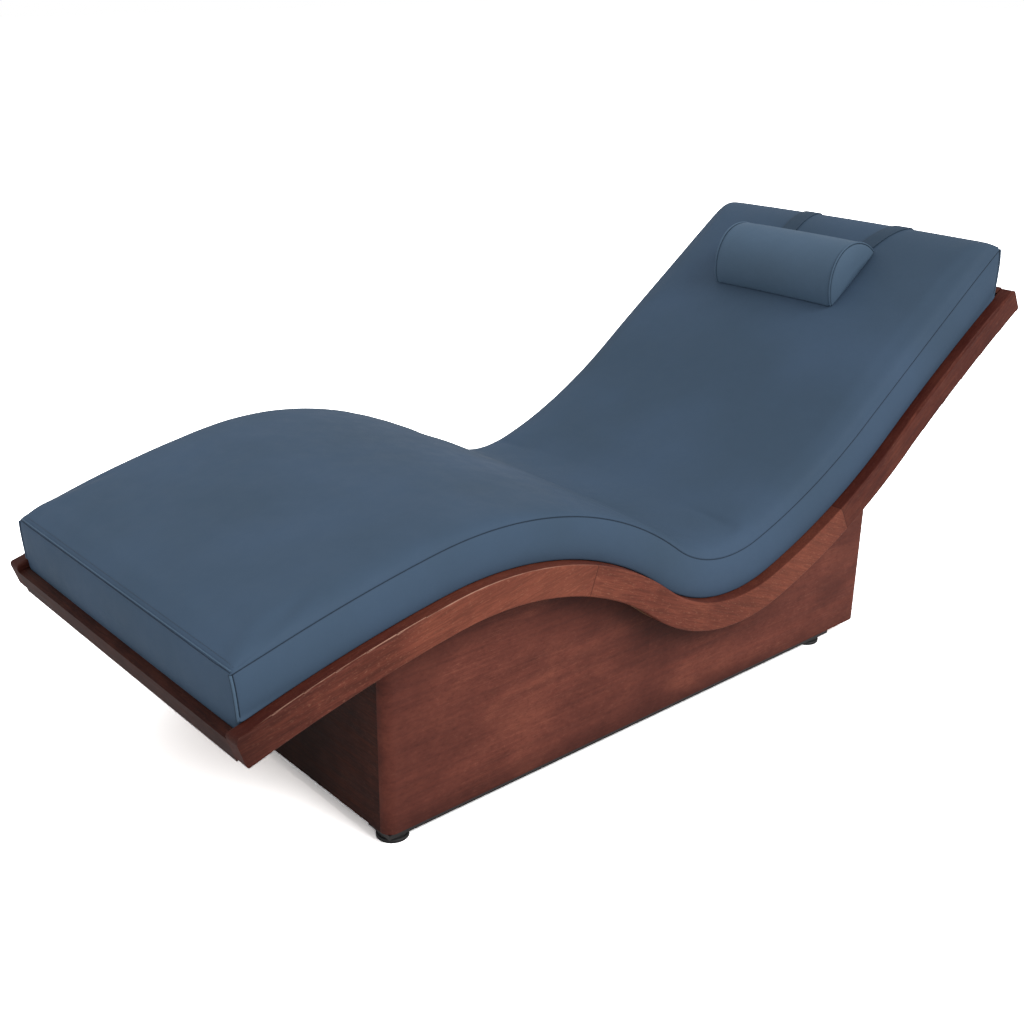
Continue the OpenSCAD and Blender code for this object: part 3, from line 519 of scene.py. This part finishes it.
VINYL = vinyl_material()
# darker vinyl for the cushion's seam lines: painted shade in the seams' creases
SEAM_SHADE = vinyl_material("vinyl_seam_shade", (52, 64, 79), (44, 55, 68))
STRAP_VINYL = vinyl_material("strap_vinyl", (66, 84, 103), (60, 77, 94))
THREAD = thread_material("thread", (58, 72, 88))
LINING = lining_material()
RAIL = rail_material("rail_wood")
BASE = base_material("base_wood")
SHADED = base_end_material("base_end_wood")
# the foot end rail's wood is darkened to 0.27 as painted shade, since the foot end stands in shadow
FOOT_RAIL_SHADED = wood_material("foot_rail_shaded_wood", (0, 0, math.pi / 2), tone=0.27)
HEAD_RAIL = wood_material("head_rail_wood", (0, 0, math.pi / 2), tone=0.7)
# the pillow's vinyl is the cushion's vinyl made lighter: painted light that brightens the pillow where it stands in
# shade; on the cushion's welts it serves as a painted highlight
PILLOW_LIT_VINYL = vinyl_material("pillow_lit_vinyl", (87, 109, 131), (83, 104, 124))
# darker vinyl for the pillow's seam lines: painted shade in the seams' creases
PILLOW_SEAM_SHADE = vinyl_material("pillow_seam_shade", (66, 83, 101), (60, 76, 92))
INNER = plain_wood_material("inner_wood", (142, 104, 74), (116, 82, 56))
BLACK = plastic_material("runner_black", (20, 19, 19), 0.4)
FOOT = plastic_material("foot_black", (18, 18, 19), 0.5)
STEEL = steel_material()

NODE_MATERIALS = {
    RAIL: ["left_side_rail", "right_side_rail"],
    FOOT_RAIL_SHADED: ["foot_end_rail"],
    HEAD_RAIL: ["head_end_rail"],
    BASE: ["base_left_panel", "base_right_panel", "base_head_panel"],
    SHADED: ["base_foot_panel"],
    INNER: ["deck_panel", "left_deck_cleat", "right_deck_cleat", "foot_cross_rail", "back_cross_rail",
            "head_cross_rail", "foot_bulkhead", "head_bulkhead", "foot_corner_blocks", "head_corner_blocks",
            "head_foot_blocks", "end_rail_dowels"],
    BLACK: ["left_runner", "right_runner"],
    FOOT: ["foot_left_pad", "foot_right_pad", "head_left_pad", "head_right_pad"],
    STEEL: ["runner_screws", "platform_bolts", "rail_inserts", "leveller_nuts", "foot_left_stem",
            "foot_right_stem", "head_left_stem", "head_right_stem", "weight_bar"],
    LINING: ["grip_strips"],
}
for material, names in NODE_MATERIALS.items():
    for name in names:
        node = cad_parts[name]
        if not node.data.materials:
            node.data.materials.append(material)
        for slot in node.material_slots:
            slot.link = "OBJECT"
            slot.material = material

# Cushion: s runs along the platform line, y across, d square to the line, all in mm.
RISE, CROWN, SHOULDER, LAP, BULGE = 70.0, 42.0, 55.0, 8.0, 5.0
FALL, HEAD_FALL = 75.0, 46.0
BACK_PITCH = 36.0
GRIP_T, LINING_T = 1.5, 0.6
BED = GRIP_T + LINING_T + 3 * FIT - DECK_DROP
END_RAIL_T, COVER_T, HEAD_INSET = 18.0, 1.0, 47.0
S0 = END_RAIL_T + FIT + COVER_T
S1 = PATH_LEN - HEAD_INSET
END_RUN = 1.33 * (RISE + DECK_DROP)
W = INNER_W - FIT
CROWN_SHARES = [(0, 0.7), (0.08, 0.6), (0.18, 0.54), (0.31, 0.27), (0.39, 0.27), (0.51, 0.75), (0.6, 0.85),
                (0.78, 1), (1, 1)]
# where the lower back's arc reaches the pitch of the straight back
FLAT_S = STARTS[3] + (BACK_PITCH - HEADINGS[3]) * ARCS[3][0] * math.pi / 180
FLAT_P = on_path(FLAT_S, RISE)


def seam_d(s):
    """Height of the top seam over the platform line; it stays on one straight line up the back."""
    if s <= FLAT_S:
        return RISE
    n = square_to(BACK_PITCH)
    return (FLAT_P - on_path(s, 0)).dot(n) / square_to(heading(s)).dot(n)


def near_end(s):
    return min(s - S0, S1 - s)


def crown(s):
    """Rise of the top's middle over the seam."""
    if s < PATH_LEN / 2:
        end = 0.84 * max(0.0, 1 - near_end(s) / FALL) ** 4
    else:
        end = 0.88 * max(0.0, 1 - near_end(s) / HEAD_FALL) ** 2
    share = sum(lookup((s + o) / PATH_LEN, CROWN_SHARES) for o in (-60, -30, 0, 30, 60)) / 5
    return CROWN * share * (1 - end)


def cushion_at(s, y, d):
    """Place on the cushion in metres; towards its ends it stands upright with a little outward lean."""
    h, p = heading(s), on_path(s, d)
    lean = h if s < FLAT_S else h + (BACK_PITCH - h) * min(1.0, (d - BED) / (seam_d(s) - BED))
    upright = smooth(1 - near_end(s) / END_RUN)
    q = p + upright * (on_path(s, BED)[0] - p[0]) / math.cos(math.radians(lean)) * along(lean)
    out = 7.0 * max(0.0, d - BED) / (seam_d(s) - BED) * math.exp(-near_end(s) / 45)
    q = q + (out if s > PATH_LEN / 2 else -out) * Vector((1.0, 0.0))
    return Vector(((q[0] + X_SHIFT) * mm, y * mm, q[1] * mm))


# the cover starts at the share SLACK of its crown, and the simulation fills it
SLACK = 0.94
TOP_ANGLES = [3, 6, 10, 15, 21, 28, 36, 45, 55, 65, 75, 84, 90]
SQUARE = 0.7


def boxing_y(s, t):
    """Half width of the boxing at the share t of its height; it bellies less towards its ends."""
    bulge = math.cos(math.pi / 2 * (max(0.0, t - 0.35) / 0.65) ** 1.9)
    bulge = min(bulge, 0.8 + 0.2 * math.sin(math.pi / 2 * min(1.0, t / 0.4)))
    return W + 1.05 * LAP * bulge * (1 - 0.55 * math.exp(-near_end(s) / 40))


def half_section(s):
    """Half section as (y, d) from the bottom's middle to the top's middle, a little slack for the simulation."""
    top, rise = seam_d(s), SLACK * crown(s)
    pts = [(0, BED), (0.35 * W, BED), (0.7 * W, BED), (0.93 * W, BED), (W - 3, BED), (W, BED + 3),
           (W, (BED + FIT) / 2), (W, FIT - 2), (W + 1, FIT), (W + LAP - 2.5, FIT), (W + LAP, FIT + 1.6)]
    for t in (0.08, 0.18, 0.3, 0.42, 0.54, 0.66, 0.77, 0.86, 0.92, 0.96):
        pts.append((boxing_y(s, t), FIT + t * (top - FIT)))
    pts += [(W + 0.6, top - 1.2), (W - 1.6, top), (W + 0.2, top + 1.4)]
    for a in TOP_ANGLES:
        a = math.radians(a)
        y = W - SHOULDER * (1 - math.cos(a) ** SQUARE if a < 1.57 else 1.0)
        pts.append((y, top + max(2.2, 0.88 * rise * math.sin(a) ** SQUARE)))
    for k in [1 - i / 15 for i in range(1, 16)]:
        pts.append((k * (W - SHOULDER), top + max(2.2, rise * (0.88 + 0.12 * (1 - k * k)))))
    return pts


def ring_of(s, pinch=0.0):
    """Whole section, drawn in by pinch towards its middle."""
    half = half_section(s)
    full = half + [(-y, d) for y, d in reversed(half[1:-1])]
    mid = (BED + seam_d(s)) / 2
    return [(y - math.copysign(min(pinch, abs(y)), y), d - math.copysign(min(pinch, abs(d - mid)), d - mid))
            for y, d in full]


def ruffle(p):
    return noise.noise(p * 7.0) * 0.7 + noise.noise(p * 19.0 + Vector((3.1, 1.7, 0.4))) * 0.3


CLOTH_FRAMES = 20


def swell(obj, held, pressure, cap):
    """Cloth simulation: pressure fills the cover between its held seams; no point moves further than cap."""
    rest = [v.co.copy() for v in obj.data.vertices]
    obj.vertex_groups.new(name="held").add(held, 1.0, "REPLACE")
    mod = obj.modifiers.new("cloth", "CLOTH")
    cloth = mod.settings
    cloth.vertex_group_mass = "held"
    cloth.quality = 5
    cloth.mass = 0.3
    cloth.use_pressure = True
    cloth.uniform_pressure_force = pressure
    cloth.effector_weights.gravity = 0
    mod.point_cache.frame_start, mod.point_cache.frame_end = 1, CLOTH_FRAMES
    for f in range(1, CLOTH_FRAMES + 1):
        scene.frame_set(f)
    moved = [v.co.copy() for v in obj.evaluated_get(bpy.context.evaluated_depsgraph_get()).data.vertices]
    obj.modifiers.remove(mod)
    scene.frame_set(1)
    for v, a, b in zip(obj.data.vertices, rest, moved):
        step = b - a
        v.co = a + step * (cap * math.tanh(step.length / cap) / step.length if step.length > 1e-9 else 0.0)


def subdivide(obj):
    obj.modifiers.new("smooth", "SUBSURF").levels = 1
    obj.modifiers["smooth"].render_levels = 1


MIDDLE_RINGS, END_ZONE = 118, 76
FACE_SHARES = (0.985, 0.965, 0.93, 0.87, 0.78, 0.66, 0.5, 0.32, 0.14)


def end_face(s, way):
    """Rings that close in on the middle of the cushion's end face and stand out a little."""
    out = []
    ring = ring_of(s)
    high = seam_d(s)
    mid = BED + 0.42 * (high - BED)
    for share in FACE_SHARES:
        row = []
        round_off = smooth((1 - share) / 0.4)
        for y, d in ring:
            u, v = y / W, (d - mid) / (high - mid if d > mid else mid - BED)
            size = share * (1 - round_off * (1 - max(abs(u), abs(v)) / math.hypot(u, v)))
            lift = mid + (d - mid) * size
            up = min(1.0, max(0.0, (lift - BED) / (high - BED)))
            puff = BULGE * 1.5 * (1 - abs(size * y / (W + 12)) ** 4) * math.sin(math.pi * up) ** 0.7
            edge = 1 - math.exp(-(1 - share) / 0.012)
            row.append(cushion_at(s, size * y, lift) + Vector((way * mm * (puff + edge - 0.4), 0, 0)))
        out.append(row)
    return out


def make_cushion():
    edges = [0, 1.4, 3.5, 7, 12, 18, 26, 36, 48, 62]
    inner = [S0 + END_ZONE + (S1 - S0 - 2 * END_ZONE) * k / MIDDLE_RINGS for k in range(MIDDLE_RINGS + 1)]
    places = [S0 + e for e in edges] + inner + [S1 - e for e in reversed(edges)]
    rings = []
    for s in places:
        top = seam_d(s)
        row = []
        for y, d in ring_of(s, 2.0 * math.exp(-near_end(s) / 2.2)):
            p = cushion_at(s, y, d)
            if d > top + 3:
                fade = smooth((d - top) / 12) * smooth(near_end(s) / 60)
                p = cushion_at(s, y, d + 1.6 * fade * ruffle(p))
            row.append(p)
        rings.append(row)
    rings = list(reversed(end_face(S0, -1))) + rings + end_face(S1, 1)
    verts, faces = rings_mesh(rings)
    obj = new_object("cushion", verts, faces, [VINYL, LINING], "frame")
    m = len(rings[0])
    for p in obj.data.polygons:
        row, place = divmod(p.index, m)
        if len(FACE_SHARES) <= row < len(rings) - len(FACE_SHARES) - 1 and (place < 5 or place >= m - 5):
            p.material_index = 1
    # held: the underside, the rows by the seams, and each end's face with the first rings behind it
    fixed = set(range(0, 11)) | set(range(20, 25))
    fixed |= {m - j for j in fixed if j}
    ends = len(FACE_SHARES) + 4
    held = [r * m + j for r in range(len(rings)) for j in range(m)
            if j in fixed or r < ends or r >= len(rings) - ends]
    swell(obj, held, pressure=1.2, cap=3.5 * mm)
    subdivide(obj)
    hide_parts("cushion_cover", "cushion_foam", "cushion_underside")
    return obj


def hug(points, lift):
    """Points moved onto the finished cushion's skin and lifted off it a little."""
    out = []
    for p in points:
        at, normal = skin.find_nearest(p)[:2]
        out.append(at + normal * lift * mm)
    return out


def seam_line(side, start, end, step=9.0):
    """The long top seam on one side."""
    n = int((end - start) / step)
    places = [start + (end - start) * k / n for k in range(n + 1)]
    return [cushion_at(s, side * (W - 0.6), seam_d(s)) for s in places]


def make_cushion_seams():
    """Seam lines drawn dark, as painted shade in the seams' creases, the raised welts beside them drawn lighter, as a
    painted highlight, and the top stitching along both ends.
    """
    groove_shades, welts, threads = [], [], []
    for side in (-1, 1):
        groove_shades.append(tube(seam_line(side, S0 + 1, S1 - 1), 0.75 * mm, 6))
    for s, way in ((S0, -1), (S1, 1)):
        def across(into, up, out):
            return [cushion_at(s - way * into, y, seam_d(s) + SLACK * crown(s - way * into) * up)
                    + Vector((way * out * mm, 0, 0)) for y in [(W - 3) * k / 30 for k in range(-30, 31)]]
        groove_shades.append(tube(hug(across(0.0, 0.86, 0.6), 0.1), 0.6 * mm, 6))
        welts.append(tube(hug(across(1.4, 0.9, 0.0), 0.2), 1.2 * mm, 6))
        threads.append(stitch_row(hug(across(6.0, 1.0, 0.0), 0.1), radius=0.3 * mm))
        for side in (-1, 1):
            def upright(dx, dy):
                line = []
                for t in [0.02, 0.06] + [k / 12 for k in range(1, 12)] + [0.97, 1.0]:
                    y = side * (boxing_y(s, t) - 1.2 if t < 1 else W - 1.0)
                    at = cushion_at(s, y, FIT + t * (seam_d(s) - FIT))
                    line.append(at + Vector((way * dx * mm, side * dy * mm, 0)))
                return line
            welts.append(tube(upright(0.0, 0.0), 2.2 * mm, 8))
            groove_shades.append(tube(upright(0.9, -3.0), 0.7 * mm, 6))
            groove_shades.append(tube(upright(-3.0, 1.0), 0.7 * mm, 6))
    # the welts take the lighter pillow vinyl as a painted highlight, the seam lines the darker seam vinyl as painted
    # shade
    for name, parts, material in (("cushion_seams", groove_shades, SEAM_SHADE), ("cushion_welts", welts, PILLOW_LIT_VINYL),
                                  ("cushion_stitches", threads, THREAD)):
        v, f = merged(parts)
        new_object(name, v, f, material, "frame")


cushion = make_cushion()
skin = BVHTree.FromObject(cushion, bpy.context.evaluated_depsgraph_get())
make_cushion_seams()

# Pillow: a runs up the straight back from the cushion's head seam, d stands square to it.
HEAD_SEAM = Vector((864.92, 739.786))
P_LEN, P_DEPTH, P_H = 300.0, 162.0, 78.0
P_FROM, P_SIDE = 180.0, 15.0
P_ROUND, P_STEPS = 1.3, 40
BED_D = CROWN + FIT
DOWN_BACK = Vector((-square_to(BACK_PITCH)[0], 0, -square_to(BACK_PITCH)[1]))


def on_back(a, d, y):
    p = HEAD_SEAM + a * along(BACK_PITCH) + d * square_to(BACK_PITCH)
    return Vector((p[0] * mm, y * mm, p[1] * mm))


def skin_height(a, y):
    """Height of the finished cushion's skin over the head seam's plane, or None beyond its edge."""
    hit = skin.ray_cast(on_back(a, 150.0, y), DOWN_BACK)[0]
    return hit and (Vector((hit.x, hit.z)) / mm - HEAD_SEAM).dot(square_to(BACK_PITCH))


def pillow_bed(y):
    """Height of the pillow's underside at this y: it sinks a little into the skin."""
    return max(skin_height(-P_FROM + a, y) for a in (-60, -20, 20, 60)) - 0.8


def pillow_end(y, way):
    """Rings that close in on the middle of the pillow's end and stand out."""
    out = []
    bed = pillow_bed(y)
    for share in (0.96, 0.9, 0.82, 0.7, 0.52, 0.3, 0.12):
        row = []
        puff = way * 12 * (1 - share ** 2) ** 0.8
        for j in range(P_STEPS + 1):
            t = math.pi * j / P_STEPS
            a = -P_FROM - P_DEPTH / 2 * share * math.cos(t)
            d = bed + 1.3 + (P_H - 1.5) * (0.36 + (math.sin(t) ** P_ROUND - 0.36) * share)
            row.append(on_back(a, d, y + puff))
        for j in range(1, 10):
            a = -P_FROM + P_DEPTH / 2 * share * (1 - 2 * j / 10)
            row.append(on_back(a, bed + (P_H - 1.5) * 0.36 * (1 - share), y + puff))
        out.append(row)
    return out


def make_pillow():
    ks = [0, 0.004, 0.012, 0.024, 0.04, 0.07, 0.12, 0.2, 0.3, 0.4, 0.5]
    ks = ks + [1 - k for k in reversed(ks[:-1])]
    rings = []
    for k in ks:
        e = min(k, 1 - k) * P_LEN
        size = 1 - 0.035 * math.exp(-e / 2.0) + 0.012 * math.exp(-((e - 9) / 6) ** 2)
        y = P_SIDE - P_LEN / 2 + k * P_LEN
        bed = pillow_bed(y)
        row = []
        for j in range(P_STEPS + 1):
            t = math.pi * j / P_STEPS
            a = -P_FROM - P_DEPTH / 2 * size * math.cos(t)
            d = bed + 1.5 + (BED_D + P_H - 3.5 - bed) * size * math.sin(t) ** P_ROUND
            row.append(on_back(a, d, y))
        for j in range(1, 10):
            a = -P_FROM + P_DEPTH / 2 * size * (1 - 2 * j / 10)
            row.append(on_back(a, bed, y))
        rings.append(row)
    rings = list(reversed(pillow_end(P_SIDE - P_LEN / 2, -1))) + rings + pillow_end(P_SIDE + P_LEN / 2, 1)
    verts, faces = rings_mesh(rings)
    obj = new_object("pillow", verts, faces, PILLOW_LIT_VINYL, "pillow")
    m = len(rings[0])
    # held: the underside and the rows of the piping round both ends
    held = [r * m + j for r in range(len(rings)) for j in range(m)
            if j in (0, 1, m - 1) or j >= P_STEPS or r in (6, 7, 8) or len(rings) - 1 - r in (6, 7, 8)]
    swell(obj, held, pressure=60.0, cap=2.5 * mm)
    subdivide(obj)
    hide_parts("pillow_cover", "pillow_foam", "pillow_underside")
    welts, groove_shades = [], []
    # one welt and two thin seam lines round each end; the seam lines take a darker vinyl, painted shade in their
    # creases
    lines = ((welts, 0.6, 1.9, 0.8), (groove_shades, 2.9, 0.45, 0.8), (groove_shades, -1.5, 0.4, -0.4))
    for side in (-1, 1):
        for parts, inset, radius, grow in lines:
            line = []
            for t in [math.pi * j / 60 for j in range(1, 60)]:
                a = -P_FROM - (P_DEPTH / 2 * 0.975 + grow) * math.cos(t)
                d = BED_D + 1.5 + (P_H - 3.6 + grow) * math.sin(t) ** P_ROUND
                line.append(on_back(a, d, P_SIDE + side * (P_LEN / 2 - inset)))
            parts.append(tube(line, radius * mm, 8))
    for name, parts, material in (("pillow_piping", welts, PILLOW_LIT_VINYL), ("pillow_seams", groove_shades, PILLOW_SEAM_SHADE)):
        v, f = merged(parts)
        new_object(name, v, f, material, "pillow")


make_pillow()


# Straps and weight
STRAP_W, STRAP_T, STITCH_INSET, STRAP_LIFT = 36.0, 2.4, 3.2, 0.3
# each strap's middle in y at the rail, and how far it slants by the time it reaches the pillow
STRAPS = ((-134.0, 30.0), (97.0, 0.0))
SLIDE_DOWN, SLIDE_UP = 120.0, 40.0
# a strap's points are taken to travel with the pillow up to MOVES_TO and to lie still from STILL_FROM on; its slant
# ends at STRAIGHT_FROM
MOVES_TO, STILL_FROM, STRAIGHT_FROM = -108.0, -44.0, -99.0
# the skin is read from READ_FROM to READ_TO up the back, and a strap starts at STRAP_START, hidden by the pillow
READ_FROM, READ_TO, STRAP_START = -280, 10, -150
CORNER = on_path(PATH_LEN, -RAIL_DEPTH) + Vector((X_SHIFT, 0))
HANG_X = CORNER[0] + FIT + 1.0
HANG_FROM = CORNER[1] - 12.0
TURN = Vector((HANG_X - 1.0, CORNER[1] + 2.0))
WEIGHT_DROP = 215.0
WEIGHT_Z = CORNER[1] - WEIGHT_DROP
SLEEVE_R, SLEEVE_LEN, LOOP_GAP = 11.5, 280.0, 0.2


def strap_y(y, slant, a):
    """Middle of a strap at a on the back."""
    return y + slant * min(1.0, max(0.0, a / STRAIGHT_FROM))


def taut_line(y0, slant):
    """Strap line pulled tight over the finished cushion, from under the pillow to the rail's corner, in x and z."""
    heights = {}
    for a in range(READ_FROM, READ_TO):
        found = [skin_height(a, strap_y(y0, slant, a) + off) for off in (-15, 0, 15)]
        if None not in found:
            heights[a] = max(found)
    pts = []
    for a in [a for a in sorted(heights) if a >= STRAP_START]:
        # as high as all the skin that this point passes over while the pillow slides
        w = smooth((STILL_FROM - a) / (STILL_FROM - MOVES_TO))
        path = range(int(a - SLIDE_DOWN * w), int(a + SLIDE_UP * w) + 1)
        high = max(heights[b] for b in path if b in heights)
        pts.append(HEAD_SEAM + a * along(BACK_PITCH) + high * square_to(BACK_PITCH))
    top = pts[-1][1]
    for k in range(1, 40):
        z = top - k * 2.0
        hit = skin.ray_cast(Vector((1.2, y0 * mm, z * mm)), Vector((-1, 0, 0)))[0]
        if hit and z > CORNER[1] + 6:
            pts.append(Vector((hit.x, hit.z)) / mm)
    pts.append(TURN)
    hull = []
    for p in pts:
        while len(hull) > 1 and (hull[-1] - hull[-2]).cross(p - hull[-1]) >= 0:
            hull.pop()
        hull.append(p)
    return [Vector((p[0], p[1])) for p in resample([Vector((p[0], p[1], 0)) for p in hull], 4.0)]


def strap_profile():
    """Section of a strap as (across, up), with a shallow channel along each row of stitches."""
    h, t = STRAP_W / 2, STRAP_T
    upper = [(-h, 0.5), (-h + 0.5, t - 0.5), (-h + 2, t), (-h + STITCH_INSET, t - 0.35), (-h + 5, t), (-h / 3, t),
             (h / 3, t), (h - 5, t), (h - STITCH_INSET, t - 0.35), (h - 2, t), (h - 0.5, t - 0.5), (h, 0.5)]
    return upper + [(h - 0.5, 0.0), (h / 3, 0.0), (-h / 3, 0.0), (-h + 0.5, 0.0)]


def ribbon(line, middles):
    """A strap along a line in x and z, with its middle at the y of each point."""
    rows = []
    for i, p in enumerate(line):
        a, b = line[max(0, i - 1)], line[min(len(line) - 1, i + 1)]
        way = (b - a).normalized()
        out = Vector((-way[1], way[0]))
        p = p + STRAP_LIFT * out
        rows.append([Vector(((p[0] + h * out[0]) * mm, (middles[i] + y) * mm, (p[1] + h * out[1]) * mm))
                     for y, h in strap_profile()])
    return rings_mesh(rows)


def ribbon_stitches(line, middles, start=0):
    """Both rows of stitches on a strap, from one point of its line on."""
    parts = []
    for off in (-STRAP_W / 2 + STITCH_INSET, STRAP_W / 2 - STITCH_INSET):
        pts = []
        for i in range(start, len(line)):
            p, a, b = line[i], line[max(0, i - 1)], line[min(len(line) - 1, i + 1)]
            way = (b - a).normalized()
            out = Vector((-way[1], way[0])) * (STRAP_T - 0.25)
            pts.append(Vector(((p[0] + out[0]) * mm, (middles[i] + off) * mm, (p[1] + out[1]) * mm)))
        parts.append(stitch_row(pts))
    return merged(parts)


def bend_points(a, corner, b, radius, count=6):
    """Rounded corner between a and b."""
    u, v = (a - corner).normalized(), (b - corner).normalized()
    start, end = corner + u * radius, corner + v * radius
    ks = [i / count for i in range(count + 1)]
    return [(1 - k) ** 2 * start + 2 * k * (1 - k) * corner + k * k * end for k in ks]


def flat_caps(obj):
    """Flat shading on the end caps, so that two straps that meet end to end show no line."""
    for p in obj.data.polygons:
        p.use_smooth = len(p.vertices) == 4


def make_straps():
    """Straps over the head, and their hanging lengths."""
    mesh_parts, stitch_parts = [], []
    for y, slant in STRAPS:
        line = taut_line(y, slant)
        while (line[-1] - TURN).length < 9:
            line.pop()
        line += bend_points(line[-1], TURN, Vector((TURN[0], CORNER[1] - 30)), 7.0)
        line.append(Vector((TURN[0], HANG_FROM)))
        a_of = [(p - HEAD_SEAM).dot(along(BACK_PITCH)) for p in line]
        tip = a_of.index(max(a_of))
        middles = [strap_y(y, slant, a) if i < tip else y for i, a in enumerate(a_of)]
        mesh_parts.append(ribbon(line, middles))
        stitch_parts.append(ribbon_stitches(line, middles, 1))
    # points on the back at MOVES_TO and STILL_FROM, the second brought level with the first
    start, end = on_back(MOVES_TO, BED_D, 0), on_back(STILL_FROM, BED_D, 0)
    end.z = start.z
    v, f = merged(mesh_parts)
    straps = new_object("straps_over_head", v, f, STRAP_VINYL, None)
    flat_caps(straps)
    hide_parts("front_straps", "edge_straps")
    v, f = merged(stitch_parts)
    stitches = new_object("strap_stitches", v, f, THREAD, None)
    for piece in (straps, stitches):
        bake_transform(piece)
    low = WEIGHT_Z + SLEEVE_R + 1.0
    steps = 32
    hang = [Vector((TURN[0], HANG_FROM + (low - HANG_FROM) * k / steps)) for k in range(steps + 1)]
    parts, rows = [], []
    for y, _ in STRAPS:
        parts.append(ribbon(hang, [y] * len(hang)))
        rows.append(ribbon_stitches(hang, [y] * len(hang)))
    v, f = merged(parts)
    hanging = new_object("straps_hanging", v, f, STRAP_VINYL, None)
    flat_caps(hanging)
    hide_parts("hanging_straps")
    v, f = merged(rows)
    hang_stitches = new_object("hanging_stitches", v, f, THREAD, None)
    for piece in (hanging, hang_stitches):
        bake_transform(piece)


def make_weight_sleeve():
    """Pleated sleeve round the weight's bar, and the strap loops round the sleeve."""
    half = SLEEVE_LEN / 2
    mid = sum(y for y, _ in STRAPS) / 2
    rings = []
    steps = 36
    ends = [0, 0.004, 0.01, 0.018, 0.03]
    for k in ends + [0.03 + 0.94 * i / 30 for i in range(1, 30)] + [0.97, 0.982, 0.99, 0.996, 1]:
        e = min(k, 1 - k) * 2 * half
        pinch = 1 - 0.42 * math.exp(-e / 2.2)
        y = mid - half + 2 * half * k
        row = []
        for j in range(steps):
            w = 2 * math.pi * j / steps
            pleat = 1 + 0.05 * math.exp(-e / 5) * math.cos(9 * w) + 0.012 * noise.noise(Vector((y * 0.05, w, 0)))
            r = SLEEVE_R * pinch * pleat
            row.append(Vector(((HANG_X + r * math.cos(w)) * mm, y * mm, (WEIGHT_Z + r * math.sin(w)) * mm)))
        rings.append(row)
    v, f = rings_mesh(rings)
    sleeve = new_object("weight_sleeve_skin", v, f, VINYL, "strap_weight")
    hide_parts("weight_sleeve")
    parts = []
    for y0, _ in STRAPS:
        rows = []
        n = 30
        for i in range(n + 1):
            w = math.radians(100 + 350 * i / n)
            c, s = math.cos(w), math.sin(w)
            rows.append([Vector(((HANG_X + (SLEEVE_R + LOOP_GAP + h) * c) * mm, (y0 + y) * mm,
                                 (WEIGHT_Z + (SLEEVE_R + LOOP_GAP + h) * s) * mm)) for y, h in strap_profile()])
        parts.append(rings_mesh(rows))
    v, f = merged(parts)
    loops = new_object("strap_loops", v, f, STRAP_VINYL, "strap_weight")


make_straps()
make_weight_sleeve()

# Stage and light
FLOOR_TONE, FLOOR_SEEN = 0.8, 3.3
WORLD_LIT, WORLD_SEEN = 0.68, 1.0
SUN_FROM, SUN_LEVEL, SUN_ANGLE = (0.22, -0.95, 0.85), 1.3, 30


def make_stage():
    """Floor and world give the object a plain light, and look white to camera and transmission rays alone."""
    bpy.ops.mesh.primitive_plane_add(size=60, location=(0, 0, 0))
    floor = bpy.context.object
    floor.name = "floor"
    n = Nodes("floor")
    n.finish(rough=0.95, Specular_IOR_Level=0.0)
    path = n.tree.nodes.new("ShaderNodeLightPath")
    seen = n.math("MAXIMUM", path.outputs["Is Camera Ray"], path.outputs["Is Transmission Ray"])
    tone = n.mix(seen, (FLOOR_TONE, FLOOR_TONE, FLOOR_TONE, 1.0), (FLOOR_SEEN, FLOOR_SEEN, FLOOR_SEEN, 1.0))
    n.link(tone, n.bsdf.inputs["Base Color"])
    floor.data.materials.append(n.mat)
    world = bpy.data.worlds.new("world")
    scene.world = world
    world.use_nodes = True
    t = world.node_tree
    bg = t.nodes["Background"]
    path = t.nodes.new("ShaderNodeLightPath")
    seen = t.nodes.new("ShaderNodeMath")
    seen.operation = "MAXIMUM"
    t.links.new(path.outputs["Is Camera Ray"], seen.inputs[0])
    t.links.new(path.outputs["Is Transmission Ray"], seen.inputs[1])
    level = t.nodes.new("ShaderNodeMapRange")
    level.inputs["To Min"].default_value = WORLD_LIT
    level.inputs["To Max"].default_value = WORLD_SEEN
    t.links.new(seen.outputs[0], level.inputs["Value"])
    t.links.new(level.outputs[0], bg.inputs["Strength"])
    bg.inputs["Color"].default_value = (1, 1, 1, 1)
    sun = bpy.data.lights.new("key", "SUN")
    sun.energy = SUN_LEVEL
    sun.angle = math.radians(SUN_ANGLE)
    key = bpy.data.objects.new("key", sun)
    key.rotation_euler = Vector(SUN_FROM).to_track_quat("Z", "Y").to_euler()
    scene.collection.objects.link(key)


make_stage()
scene.view_settings.view_transform = "Standard"
